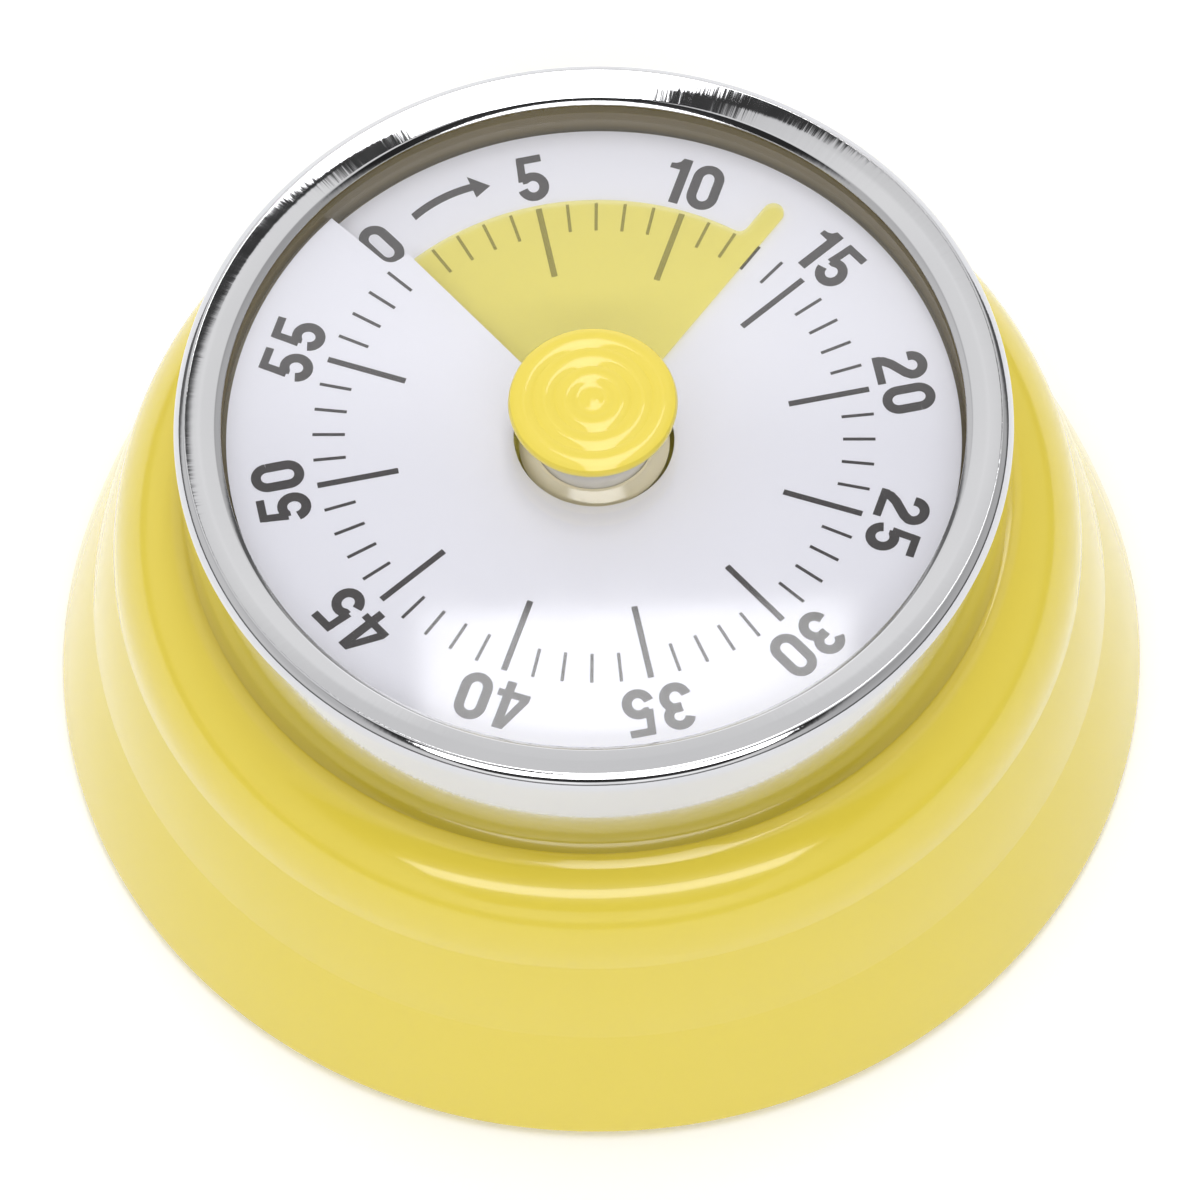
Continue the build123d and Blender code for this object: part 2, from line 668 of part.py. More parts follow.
with BuildPart() as top_plate:
    with BuildSketch(Plane.XY.offset(TOP_PLATE_BOTTOM)):
        Circle(TOP_PLATE_RADIUS)
        Circle(BUSH_RADIUS + RUNNING_GAP, mode=Mode.SUBTRACT)
        with Locations(*pillar_centres, *mount_centres):
            Circle(PLATE_SCREW_RADIUS + RUNNING_GAP, mode=Mode.SUBTRACT)
        with Locations(*train_centres, hammer_centre):
            Circle(PIVOT_RADIUS + RUNNING_GAP, mode=Mode.SUBTRACT)
        with Locations(stop_centre):
            Circle(STOP_POST_RADIUS, mode=Mode.SUBTRACT)
    extrude(amount=TOP_PLATE_TOP - TOP_PLATE_BOTTOM)
save(top_plate, "top_plate")

with BuildPart() as back_plate:
    with BuildSketch(Plane.XY.offset(BACK_PLATE_BOTTOM)):
        Circle(BACK_PLATE_RADIUS)
        Circle(ARBOR_PIVOT_RADIUS + RUNNING_GAP, mode=Mode.SUBTRACT)
        with Locations(*pillar_centres):
            Circle(PILLAR_TENON_RADIUS, mode=Mode.SUBTRACT)
        with Locations(*train_centres):
            Circle(PIVOT_RADIUS + RUNNING_GAP, mode=Mode.SUBTRACT)
        with Locations(hammer_centre):
            Circle(SPINDLE_RADIUS + RUNNING_GAP, mode=Mode.SUBTRACT)
        with Locations(spring_post_centre):
            Circle(SPRING_POST_RADIUS, mode=Mode.SUBTRACT)
    extrude(amount=BACK_PLATE_TOP - BACK_PLATE_BOTTOM)
save(back_plate, "back_plate")

with BuildPart() as pillars:
    with BuildSketch(Plane.XY.offset(BACK_PLATE_TOP)):
        with Locations(*pillar_centres):
            Circle(PILLAR_RADIUS)
    extrude(amount=TOP_PLATE_BOTTOM - BACK_PLATE_TOP)
    with BuildSketch(Plane.XY.offset(PILLAR_TENON_BOTTOM)):
        with Locations(*pillar_centres):
            Circle(PILLAR_TENON_RADIUS)
    extrude(amount=BACK_PLATE_TOP - PILLAR_TENON_BOTTOM)
    with BuildSketch(Plane.XY.offset(TOP_PLATE_BOTTOM)):
        with Locations(*pillar_centres):
            Circle(PLATE_SCREW_RADIUS + RUNNING_GAP)
    extrude(amount=PILLAR_HOLE_BOTTOM - TOP_PLATE_BOTTOM, mode=Mode.SUBTRACT)
save(pillars, "pillars")


def slotted_screws(points, seat, tip, radius):
    """Cheese-head screws whose heads stand on a seat, on the side away from their tips."""
    outwards = 1 if seat > tip else -1
    with BuildPart() as screws:
        with BuildSketch(Plane.XY.offset(seat)):
            with Locations(*points):
                Circle(PLATE_HEAD_RADIUS)
        extrude(amount=outwards * PLATE_HEAD_HEIGHT)
        with BuildSketch(Plane.XY.offset(seat + outwards * PLATE_HEAD_HEIGHT)):
            with Locations(*points):
                Rectangle(2 * PLATE_HEAD_RADIUS, SLOT_WIDTH)
        extrude(amount=-outwards * SLOT_DEPTH, mode=Mode.SUBTRACT)
        with BuildSketch(Plane.XY.offset(seat)):
            with Locations(*points):
                Circle(radius)
        extrude(amount=tip - seat)
    return screws


pillar_screws = slotted_screws(
    pillar_centres, TOP_PLATE_TOP, PILLAR_SCREW_TIP, PLATE_SCREW_RADIUS
)
save(pillar_screws, "pillar_screws")

movement_screws = slotted_screws(
    mount_centres, TOP_PLATE_BOTTOM, MOUNT_SCREW_TIP, MOUNT_SCREW_RADIUS
)
save(movement_screws, "movement_screws")

with BuildPart() as arbor_bush:
    with BuildSketch(Plane.XY.offset(BUSH_BOTTOM)):
        Circle(BUSH_RADIUS)
    extrude(amount=BUSH_TOP - BUSH_BOTTOM)
    with BuildSketch(Plane.XY.offset(TOP_PLATE_TOP)):
        Circle(BUSH_FLANGE_RADIUS)
    extrude(amount=(BUSH_TOP - TOP_PLATE_TOP) / 2)
    with BuildSketch(Plane.XY.offset(BUSH_BOTTOM)):
        Circle(ARBOR_RADIUS + RUNNING_GAP)
    extrude(amount=BUSH_TOP - BUSH_BOTTOM, mode=Mode.SUBTRACT)
save(arbor_bush, "arbor_bush")

with BuildPart() as stop_post:
    with BuildSketch(Plane.XY.offset(STOP_POST_BOTTOM)):
        with Locations(stop_centre):
            Circle(STOP_POST_RADIUS)
    extrude(amount=TOP_PLATE_TOP - STOP_POST_BOTTOM)
save(stop_post, "stop_post")

with BuildPart() as spring_post:
    with BuildSketch(Plane.XY.offset(BACK_PLATE_BOTTOM)):
        with Locations(spring_post_centre):
            Circle(SPRING_POST_RADIUS)
    extrude(amount=SPRING_TOP + PINION_OVERHANG - BACK_PLATE_BOTTOM)
save(spring_post, "spring_post")

with BuildPart() as mainspring:
    with BuildSketch(Plane.XY.offset(SPRING_BOTTOM)):
        with BuildLine():
            for half, radius in enumerate(spring_turns):
                side = -1 if half % 2 else 1
                centre = SPRING_STEP if half % 2 else 0
                for reach in (radius - SPRING_STRIP / 2, radius + SPRING_STRIP / 2):
                    ThreePointArc(
                        (centre + side * reach, 0),
                        (centre, side * reach),
                        (centre - side * reach, 0),
                    )
            for start in (SPRING_INNER_RADIUS - SPRING_STRIP / 2, -spring_reach):
                Line((start, 0), (start + SPRING_STRIP, 0))
        make_face()
    extrude(amount=SPRING_TOP - SPRING_BOTTOM)
save(mainspring, "mainspring")


# What turns with the knob --------------------------------------------------------------------

stop_lug_angle = STOP_POST_ANGLE - SET_ANGLE - STOP_LEAD
strike_lobe_angle = HAMMER_ANGLE + STRIKE_LEAD - SET_ANGLE

with BuildPart() as main_arbor:
    with BuildSketch(Plane.XY.offset(ARBOR_BOTTOM)):
        Circle(ARBOR_PIVOT_RADIUS)
    extrude(amount=BACK_PLATE_TOP + RUNNING_GAP - ARBOR_BOTTOM)
    with BuildSketch(Plane.XY.offset(BACK_PLATE_TOP + RUNNING_GAP)):
        Circle(ARBOR_RADIUS)
    extrude(amount=ARBOR_SHOULDER - BACK_PLATE_TOP - RUNNING_GAP)
    with BuildSketch(Plane.XY.offset(FLANGE_BOTTOM)):
        Circle(FLANGE_RADIUS)
    extrude(amount=MAIN_WHEEL_BOTTOM - RUNNING_GAP - FLANGE_BOTTOM)
    with BuildSketch(Plane.XY.offset(ARBOR_SHOULDER)):
        RegularPolygon(ARBOR_HEX_FLATS / 2, 6, major_radius=False)
    extrude(amount=ARBOR_TOP - ARBOR_SHOULDER)
save(main_arbor, "main_arbor")

with BuildPart() as slip_spring:
    with BuildSketch(Plane.XZ):
        with BuildLine():
            crown = (ARBOR_RADIUS + PRESS_GAP, SLIP_SPRING_TOP - SLIP_SPRING_THICKNESS)
            foot = (SLIP_SPRING_FOOT, SLIP_SPRING_BOTTOM)
            knee = (SLIP_SPRING_CROWN, crown[1])
            under = Polyline(crown, knee, foot)
            offset(under, amount=SLIP_SPRING_THICKNESS, side=Side.LEFT)
        make_face()
    revolve(axis=Axis.Z)
save(slip_spring, "slip_spring")

with BuildPart() as clutch_collar:
    with BuildSketch(Plane.XY.offset(SLIP_SPRING_TOP)):
        Circle(COLLAR_RADIUS)
        Circle(ARBOR_RADIUS + PRESS_GAP, mode=Mode.SUBTRACT)
    extrude(amount=COLLAR_TOP - SLIP_SPRING_TOP)
save(clutch_collar, "clutch_collar")

with BuildPart() as strike_cam:
    with BuildSketch(Plane.XY.offset(STRIKE_CAM_BOTTOM).rotated((0, 0, strike_lobe_angle))):
        Circle(STRIKE_CAM_RADIUS)
        with Locations(((STRIKE_LOBE_TIP - STRIKE_LOBE_WIDTH / 2) / 2, 0)):
            SlotOverall(STRIKE_LOBE_TIP + STRIKE_LOBE_WIDTH / 2, STRIKE_LOBE_WIDTH)
        Circle(ARBOR_RADIUS + PRESS_GAP, mode=Mode.SUBTRACT)
    extrude(amount=STRIKE_CAM_TOP - STRIKE_CAM_BOTTOM)
save(strike_cam, "strike_cam")

with BuildPart() as stop_disc:
    with BuildSketch(Plane.XY.offset(STOP_DISC_BOTTOM).rotated((0, 0, stop_lug_angle))):
        Circle(STOP_DISC_RADIUS)
        with Locations((STOP_LUG_TIP / 2, 0)):
            Rectangle(STOP_LUG_TIP, STOP_LUG_WIDTH)
        Circle(ARBOR_RADIUS + PRESS_GAP, mode=Mode.SUBTRACT)
    extrude(amount=STOP_DISC_TOP - STOP_DISC_BOTTOM)
save(stop_disc, "stop_disc")


# The wheel train and the escapement ----------------------------------------------------------


def meshing_angles(driver_centre, driven_centre):
    """Turns of a wheel and of its pinion that put a tooth of one in a gap of the other."""
    line = direction(driver_centre, driven_centre)
    return line, line + FULL_TURN / 2 + FULL_TURN / PINION_TEETH / 2


def wheel(teeth, module, centre, bottom, turn, bore, hub, windows):
    """A train wheel with round windows in its web."""
    window = (teeth * module / 2 - RIM_DEPTH - hub) / 2
    outline = gear(teeth, module, WHEEL_ADDENDUM, WHEEL_DEDENDUM)
    with BuildPart() as part:
        with BuildSketch(Plane((*centre, bottom)).rotated((0, 0, turn))):
            add(outline)
            with PolarLocations(hub + window, windows):
                Circle(window, mode=Mode.SUBTRACT)
            Circle(bore, mode=Mode.SUBTRACT)
        extrude(amount=WHEEL_THICKNESS)
    return part


def pinion(module, centre, wheel_bottom, turn):
    """An arbor with leaves cut on it to mesh with a wheel, and a pivot at each end."""
    leaves = gear(PINION_TEETH, module, PINION_ADDENDUM, PINION_DEDENDUM)
    leaves_bottom = wheel_bottom - PINION_OVERHANG
    shaft_bottom = BACK_PLATE_TOP + RUNNING_GAP
    shaft_top = TOP_PLATE_BOTTOM - RUNNING_GAP
    with BuildPart() as part:
        with BuildSketch(Plane((*centre, leaves_bottom)).rotated((0, 0, turn))):
            add(leaves)
        extrude(amount=WHEEL_THICKNESS + 2 * PINION_OVERHANG)
        with BuildSketch(Plane((*centre, shaft_bottom))):
            Circle(SPINDLE_RADIUS)
        extrude(amount=shaft_top - shaft_bottom)
        with BuildSketch(Plane((*centre, BACK_PLATE_BOTTOM))):
            Circle(PIVOT_RADIUS)
        extrude(amount=TOP_PLATE_TOP - BACK_PLATE_BOTTOM)
    return part


main_turn, second_pinion_turn = meshing_angles((0, 0), second_centre)
second_turn, third_pinion_turn = meshing_angles(second_centre, third_centre)
third_turn, escape_pinion_turn = meshing_angles(third_centre, escape_centre)
spindle_bore = SPINDLE_RADIUS + PRESS_GAP

main_wheel = wheel(
    MAIN_TEETH,
    MAIN_MODULE,
    (0, 0),
    MAIN_WHEEL_BOTTOM,
    main_turn,
    ARBOR_RADIUS + RUNNING_GAP,
    MAIN_HUB,
    MAIN_WINDOWS,
)
save(main_wheel, "main_wheel")

second_wheel = wheel(
    SECOND_TEETH,
    SECOND_MODULE,
    second_centre,
    SECOND_WHEEL_BOTTOM,
    second_turn,
    spindle_bore,
    TRAIN_HUB,
    TRAIN_WINDOWS,
)
save(second_wheel, "second_wheel")

third_wheel = wheel(
    THIRD_TEETH,
    THIRD_MODULE,
    third_centre,
    THIRD_WHEEL_BOTTOM,
    third_turn,
    spindle_bore,
    TRAIN_HUB,
    TRAIN_WINDOWS,
)
save(third_wheel, "third_wheel")

second_pinion = pinion(MAIN_MODULE, second_centre, MAIN_WHEEL_BOTTOM, second_pinion_turn)
save(second_pinion, "second_pinion")

third_pinion = pinion(SECOND_MODULE, third_centre, SECOND_WHEEL_BOTTOM, third_pinion_turn)
save(third_pinion, "third_pinion")

escape_pinion = pinion(THIRD_MODULE, escape_centre, THIRD_WHEEL_BOTTOM, escape_pinion_turn)
save(escape_pinion, "escape_pinion")

to_balance = direction(escape_centre, balance_centre)
tooth_pitch = FULL_TURN / ESCAPE_TEETH
with BuildPart() as escape_wheel:
    with BuildSketch(Plane((*escape_centre, ESCAPE_WHEEL_BOTTOM)).rotated((0, 0, to_balance))):
        with BuildLine():
            for tooth in range(ESCAPE_TEETH):
                middle = tooth * tooth_pitch
                Polyline(
                    around(ESCAPE_ROOT, middle - ESCAPE_TOOTH_FOOT / 2),
                    around(ESCAPE_TIP, middle - ESCAPE_TOOTH_TIP / 2),
                    around(ESCAPE_TIP, middle + ESCAPE_TOOTH_TIP / 2),
                    around(ESCAPE_ROOT, middle + ESCAPE_TOOTH_FOOT / 2),
                    around(ESCAPE_ROOT, middle + tooth_pitch - ESCAPE_TOOTH_FOOT / 2),
                )
        make_face()
        Circle(spindle_bore, mode=Mode.SUBTRACT)
    extrude(amount=ESCAPE_WHEEL_THICKNESS)
save(escape_wheel, "escape_wheel")

pallet_orbit = ESCAPE_TIP + PALLET_CLEARANCE + PALLET_PIN_RADIUS
pallet_points = [
    tuple(Vector(*escape_centre) + Vector(*around(pallet_orbit, to_balance + side)))[:2]
    for side in (-PALLET_SPAN_TEETH * tooth_pitch / 2, PALLET_SPAN_TEETH * tooth_pitch / 2)
]
with BuildPart() as pallet_lever:
    with BuildSketch(Plane.XY.offset(PALLET_LEVER_BOTTOM)):
        for point in pallet_points:
            reach = Vector(*point) - Vector(*balance_centre)
            middle = Vector(*balance_centre) + reach / 2
            with Locations(Location((middle.X, middle.Y), direction(balance_centre, point))):
                SlotCenterToCenter(reach.length, PALLET_ARM_WIDTH)
        with Locations(balance_centre):
            Circle(BALANCE_HUB_RADIUS)
            Circle(spindle_bore, mode=Mode.SUBTRACT)
    extrude(amount=PALLET_LEVER_THICKNESS)
    with BuildSketch(Plane.XY.offset(PALLET_LEVER_BOTTOM)):
        with Locations(*pallet_points):
            Circle(PALLET_PIN_RADIUS)
    extrude(amount=-PALLET_PIN_LENGTH)
save(pallet_lever, "pallet_lever")

with BuildPart() as balance_staff:
    with BuildSketch(Plane.XY.offset(BACK_PLATE_BOTTOM)):
        with Locations(balance_centre):
            Circle(PIVOT_RADIUS)
    extrude(amount=TOP_PLATE_TOP - BACK_PLATE_BOTTOM)
    with BuildSketch(Plane.XY.offset(BACK_PLATE_TOP + RUNNING_GAP)):
        with Locations(balance_centre):
            Circle(SPINDLE_RADIUS)
    extrude(amount=TOP_PLATE_BOTTOM - BACK_PLATE_TOP - 2 * RUNNING_GAP)
save(balance_staff, "balance_staff")

with BuildPart() as balance_bar:
    with BuildSketch(
        Plane((*balance_centre, BALANCE_BOTTOM)).rotated((0, 0, balance_angle + FULL_TURN / 4))
    ):
        Rectangle(2 * BALANCE_HALF_LENGTH, BALANCE_WIDTH)
        with Locations((BALANCE_HALF_LENGTH, 0), (-BALANCE_HALF_LENGTH, 0)):
            Circle(BALANCE_WEIGHT_RADIUS)
        Circle(BALANCE_HUB_RADIUS)
        Circle(spindle_bore, mode=Mode.SUBTRACT)
    extrude(amount=BALANCE_TOP - BALANCE_BOTTOM)
save(balance_bar, "balance_bar")


# The bell and its hammer ---------------------------------------------------------------------

with BuildPart() as bell:
    with BuildSketch(Plane.XZ) as bell_wall:
        with BuildLine():
            floor = Line((BELL_HOLE, BELL_BOTTOM), (BELL_RADIUS - BELL_CORNER, BELL_BOTTOM))
            corner = TangentArc(
                floor @ 1, (BELL_RADIUS, BELL_BOTTOM + BELL_CORNER), tangent=(1, 0)
            )
            Line(corner @ 1, (BELL_RADIUS, BELL_RIM))
            offset(amount=BELL_WALL, side=Side.LEFT)
        make_face()
    revolve(axis=Axis.Z)
save(bell, "bell")

with BuildPart() as bell_stud:
    with BuildSketch(Plane.XY.offset(BELL_BOTTOM + BELL_WALL)):
        Circle(BELL_STUD_RADIUS)
    extrude(amount=BACK_PLATE_BOTTOM - BELL_BOTTOM - BELL_WALL)
    with BuildSketch(Plane.XY.offset(BELL_BOTTOM)):
        Circle(BELL_SCREW_RADIUS + RUNNING_GAP)
    extrude(amount=BELL_SCREW_TIP + RUNNING_GAP - BELL_BOTTOM, mode=Mode.SUBTRACT)
    with BuildSketch(Plane.XY.offset(BACK_PLATE_BOTTOM)):
        Circle(ARBOR_PIVOT_RADIUS + COVER_GAP)
    extrude(amount=ARBOR_BOTTOM - BACK_PLATE_BOTTOM - COVER_GAP, mode=Mode.SUBTRACT)
save(bell_stud, "bell_stud")

with BuildPart() as bell_screw:
    with BuildSketch(Plane.XY.offset(BELL_BOTTOM)):
        Circle(BELL_HEAD_RADIUS)
    extrude(amount=-BELL_HEAD_HEIGHT)
    with BuildSketch(Plane.XY.offset(BELL_BOTTOM)):
        Circle(BELL_SCREW_RADIUS)
    extrude(amount=BELL_SCREW_TIP - BELL_BOTTOM)
    with BuildSketch(Plane.XY.offset(BELL_BOTTOM - BELL_HEAD_HEIGHT)):
        Rectangle(2 * BELL_HEAD_RADIUS, CROSS_WIDTH)
    extrude(amount=BELL_HEAD_HEIGHT / 2, mode=Mode.SUBTRACT)
save(bell_screw, "bell_screw")

head_orbit = BELL_RADIUS - BELL_WALL - HAMMER_REST_GAP - HAMMER_HEAD_RADIUS
head_centre = around(head_orbit, HAMMER_HEAD_ANGLE)
tail_length = HAMMER_ORBIT - STRIKE_LOBE_TIP - HAMMER_TAIL_CLEARANCE
arm_reach = (Vector(*head_centre) - Vector(*hammer_centre)).length

with BuildPart() as hammer_lever:
    with BuildSketch(Plane.XY.offset(HAMMER_ARM_BOTTOM)):
        with Locations(hammer_centre):
            Circle(SPINDLE_RADIUS)
    extrude(amount=TOP_PLATE_BOTTOM - RUNNING_GAP - HAMMER_ARM_BOTTOM)
    with BuildSketch(Plane.XY.offset(TOP_PLATE_BOTTOM - RUNNING_GAP)):
        with Locations(hammer_centre):
            Circle(PIVOT_RADIUS)
    extrude(amount=TOP_PLATE_TOP + RUNNING_GAP - TOP_PLATE_BOTTOM)
    with BuildSketch(
        Plane((*hammer_centre, HAMMER_ARM_BOTTOM)).rotated(
            (0, 0, direction(hammer_centre, head_centre))
        )
    ):
        with Locations((arm_reach / 2, 0)):
            SlotCenterToCenter(arm_reach, HAMMER_ARM_WIDTH)
    extrude(amount=HAMMER_ARM_TOP - HAMMER_ARM_BOTTOM)
    with BuildSketch(
        Plane((*hammer_centre, STRIKE_CAM_BOTTOM)).rotated(
            (0, 0, HAMMER_ANGLE + FULL_TURN / 2)
        )
    ):
        with Locations(((tail_length - HAMMER_ARM_WIDTH / 2) / 2, 0)):
            SlotOverall(tail_length + HAMMER_ARM_WIDTH / 2, HAMMER_ARM_WIDTH)
    extrude(amount=STRIKE_CAM_TOP - STRIKE_CAM_BOTTOM)
save(hammer_lever, "hammer_lever")

with BuildPart() as hammer_head:
    with BuildSketch(Plane.XY.offset(HAMMER_HEAD_BOTTOM)):
        with Locations(head_centre):
            Circle(HAMMER_HEAD_RADIUS)
    extrude(amount=HAMMER_ARM_BOTTOM - HAMMER_HEAD_BOTTOM)
    chamfer(hammer_head.edges().group_by(Axis.Z)[0], HAMMER_HEAD_CHAMFER)
save(hammer_head, "hammer_head")

spring_coil = Pos(*hammer_centre, HAMMER_SPRING_BOTTOM) * Helix(
    pitch=HAMMER_SPRING_PITCH,
    height=HAMMER_SPRING_PITCH * HAMMER_SPRING_TURNS,
    radius=HAMMER_SPRING_RADIUS,
)
spring_legs = [
    Line(spring_coil @ end, spring_coil @ end + way * HAMMER_SPRING_LEG * (spring_coil % end))
    for end, way in ((0, -1), (1, 1))
]
with BuildPart() as hammer_spring:
    wire = Wire([spring_legs[0].edge(), spring_coil.edge(), spring_legs[1].edge()])
    with BuildSketch(Plane(spring_legs[0] @ 1, z_dir=spring_legs[0] % 1)):
        Circle(HAMMER_SPRING_WIRE)
    sweep(path=wire)
save(hammer_spring, "hammer_spring")
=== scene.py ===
"""Looks of the sixty-minute kitchen timer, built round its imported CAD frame.

Metres, in the frame of the CAD: +Z is the dial axis and the origin is the centre of the resting face.
Profiles are written in millimetres and scaled by MM. A dial angle is counted clockwise from zero.
"""

import json
import math

import bmesh
import bpy
from mathutils import Matrix, Vector
from mathutils.geometry import delaunay_2d_cdt


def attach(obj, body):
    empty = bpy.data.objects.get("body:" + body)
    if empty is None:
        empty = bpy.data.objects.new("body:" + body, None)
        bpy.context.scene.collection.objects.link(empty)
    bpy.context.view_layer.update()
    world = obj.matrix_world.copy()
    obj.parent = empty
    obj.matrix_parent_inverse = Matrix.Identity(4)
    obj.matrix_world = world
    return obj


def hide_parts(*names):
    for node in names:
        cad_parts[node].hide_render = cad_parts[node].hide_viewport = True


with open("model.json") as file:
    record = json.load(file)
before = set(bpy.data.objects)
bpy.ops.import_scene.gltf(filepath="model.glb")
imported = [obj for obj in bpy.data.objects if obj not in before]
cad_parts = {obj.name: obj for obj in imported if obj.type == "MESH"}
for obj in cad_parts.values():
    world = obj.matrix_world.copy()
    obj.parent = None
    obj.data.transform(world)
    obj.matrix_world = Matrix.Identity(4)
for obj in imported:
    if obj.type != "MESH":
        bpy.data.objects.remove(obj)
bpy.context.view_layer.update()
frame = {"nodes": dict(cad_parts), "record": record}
nodes = frame["nodes"]

MM = 0.001
TURN = 360
SEGMENTS = 288
SHARP_ANGLE = math.radians(32)
LONG_FLAT = 1.2  # a flat longer than this gets a point beside the arc at its end
FLAT_GUARD = 0.04

# Points along an arc of each kind
ARC_STEPS = 18
BEZEL_STEPS = 10
EDGE_STEPS = 4
RIDGE_STEPS = 12
SHOULDER_STEPS = 24

# Housing, as (radius, height) or (radius, height, rounding) in millimetres
FOOT = (42.15, 0.5)
LOWER_CREASE = (39.06, 10.7)
UPPER_CREASE = (37.1, 18.1)
SHOULDER_TOP = (32.2, 25.5)
FOOT_RISE = 0.2
RING_RISE = 0.17
SHOULDER_RISE = 1.386
CREASE_RADIUS = 0.9
HOUSING_INSIDE = [
    (30.7, 25.42, 0.3),
    (30.7, 34.9, 0.3),
    (29.65, 34.9, 0.3),
    (29.65, 29.2),
    (24.5, 29.2),
    (24.5, 27.8),
    (29.65, 27.8),
    (29.65, 24.4),
    (34.9, 18.1, 1.5),
    (36.86, 10.7, 1.5),
    (38.0, 2.9),
    (39.8, 2.9),
    (39.8, 0.5, 0.25),
    (42.15, 0.5, 0.45),
]

# Bezel, lens, knob cap and stem, in the same way
BEZEL_OUTLINE = [
    (31.35, 25.5, 0.2),
    (31.6, 36.2, 1.4),
    (30.75, 36.88, 0.3),
    (29.6, 36.68, 6.0),
    (28.45, 36.4, 0.45),
    (27.95, 36.03, 0.1),
    (28.1, 35.92, 0.1),
    (28.85, 36.02, 0.4),
    (30.5, 36.28, 0.3),
    (30.95, 35.5, 0.5),
    (30.85, 25.5, 0.2),
]
LENS_OUTLINE = [(4.75, 34.95, 0.12), (30.5, 34.95, 0.1), (30.5, 35.9, 0.1), (4.75, 35.9, 0.12)]
CAP_TOP = 39.15
CAP_EDGE = [
    (6.0, 38.15),
    (6.2, 38.2),
    (6.33, 38.4),
    (6.37, 38.65),
    (6.32, 38.9),
    (6.2, 39.07),
    (6.0, CAP_TOP),
]
CAP_RIDGES = [(4.5, 6.0), (2.9, 4.5), (1.35, 2.9)]  # inner and outer radius
CAP_RIDGE_RISE = 0.13
CAP_MIDDLE = [(0.9, CAP_TOP), (0.75, 39.165), (0.5, 39.205), (0.25, 39.225), (0, 39.23)]
CAP_UNDERSIDE = [(0, 38.6), (4.46, 38.6), (4.46, 38.15)]
STEM_OUTLINE = [(0, 33.45), (1.43, 33.45), (1.43, 30.4), (4.43, 30.4, 0.1), (4.43, 38.6, 0.1), (0, 38.6)]

# Dial and its print
ZERO_LINE = 129.92  # anticlockwise from +X
DIAL_PITCH = 1.64
DIAL_ZERO_HEIGHT = 32.58
DIAL_THICKNESS = 0.45
DIAL_RADIUS = 27.7
DIAL_HOLE = 6.06
TONGUE_ANGLE = 4.6
TONGUE_INNER = 21.35
TONGUE_CORNER = 1.0
INNER_RINGS, CORNER_RINGS, OUTER_RINGS = 16, 8, 6
TONGUE_STEPS = 4
SHEET_STEP = 2  # degrees
MINUTES = 60
DEGREES_PER_MINUTE = 6
NUMERAL_STEP = 5
TICK_OUTER = 21.2
SHORT_TICK_INNER = 18.75
LONG_TICK_INNER = 15.0
SHORT_TICK_WIDTH = 0.25
LONG_TICK_WIDTH = 0.47
NUMERAL_BASE = 21.95
NUMERAL_HEIGHT = 4.05
NUMERAL_GAP = 0.1  # of a numeral's height
ZERO_NUDGE = 1.0  # degrees that the zero stands back from its line
STROKE = 0.186  # of a numeral's height
INK_LIFT = 0.02
INK_DEPTH = 0.05
ARROW_RADIUS = 24.45
ARROW_START, ARROW_NECK, ARROW_TIP = 7.2, 19.2, 22.4
ARROW_HALF_WIDTH = 0.32
ARROW_BOW = 0.3
ARROW_HEAD_HALF_WIDTH = 1.0
ARROW_TIP_Y = -0.2
ARROW_OVERLAP = 0.3  # degrees of shaft under the head
ARROW_STEPS = 12

FLOOR_RADIUS = 6.0  # metres

# Strengths of the studio's lights
SOFTBOX_LIGHT = 5.05
STRIP_LIGHT = 5.5
CEILING_LIGHT = 0.84
CEILING_SIDE_GAIN = 1.22
GAP_LIGHT = 0.05
WALL_LIGHT = 0.25
FAR_WALL_GAIN = 2.1
RIGHT_LIGHT, LEFT_LIGHT = 0.45, 0.6
CAMERA_SIDE_LIGHT = 0.04
LENS_PATCH_LIGHT = 3.8
LENS_UPPER_LIGHT = 1.15

# Camera: it looks down at the dial from the front, rolled a little
CAMERA_LENS = 309.42
CAMERA_SENSOR = 36
CAMERA_ELEVATION = math.radians(60.354)
CAMERA_ROLL = math.radians(-1.906)
CAMERA_DISTANCE = 0.77687
CAMERA_AIM = (0.00045, -0.01219)  # from the dial's centre, to the right and up in the picture
CAMERA_CLIP = (0.05, 30)
DIAL_CENTRE = Vector((0, 0, 0.0334))


# Mesh helpers --------------------------------------------------------------------------------


def bulge(start, end, rise, steps=10):
    """Points of a shallow bow from start to end that rises out of their line, to its right."""
    start, end = Vector(start), Vector(end)
    chord = end - start
    side = Vector((chord.y, -chord.x)).normalized()
    points = []
    for i in range(steps + 1):
        t = i / steps
        points.append(start + chord * t + side * rise * 4 * t * (1 - t))
    return points


def rounded(corners, steps=6):
    """A closed outline from (x, y) corners and (x, y, radius) corners that are rounded off.

    A point just past each end of an arc keeps the flat beside it flat in smooth shading.
    """
    outline = []
    count = len(corners)
    for i, corner in enumerate(corners):
        here = Vector(corner[:2])
        radius = corner[2] if len(corner) > 2 else 0
        if not radius:
            outline.append(here)
            continue
        before = (Vector(corners[i - 1][:2]) - here).normalized()
        after = (Vector(corners[(i + 1) % count][:2]) - here).normalized()
        half = before.angle(after) / 2
        start = here + before * radius / math.tan(half)
        end = here + after * radius / math.tan(half)
        centre = here + (before + after).normalized() * radius / math.sin(half)
        sweep = (start - centre).angle_signed(end - centre)
        if (Vector(corners[i - 1][:2]) - here).length > LONG_FLAT:
            outline.append(start + before * FLAT_GUARD)
        for step in range(steps + 1):
            outline.append(centre + Matrix.Rotation(-sweep * step / steps, 2) @ (start - centre))
        if (Vector(corners[(i + 1) % count][:2]) - here).length > LONG_FLAT:
            outline.append(end + after * FLAT_GUARD)
    return outline


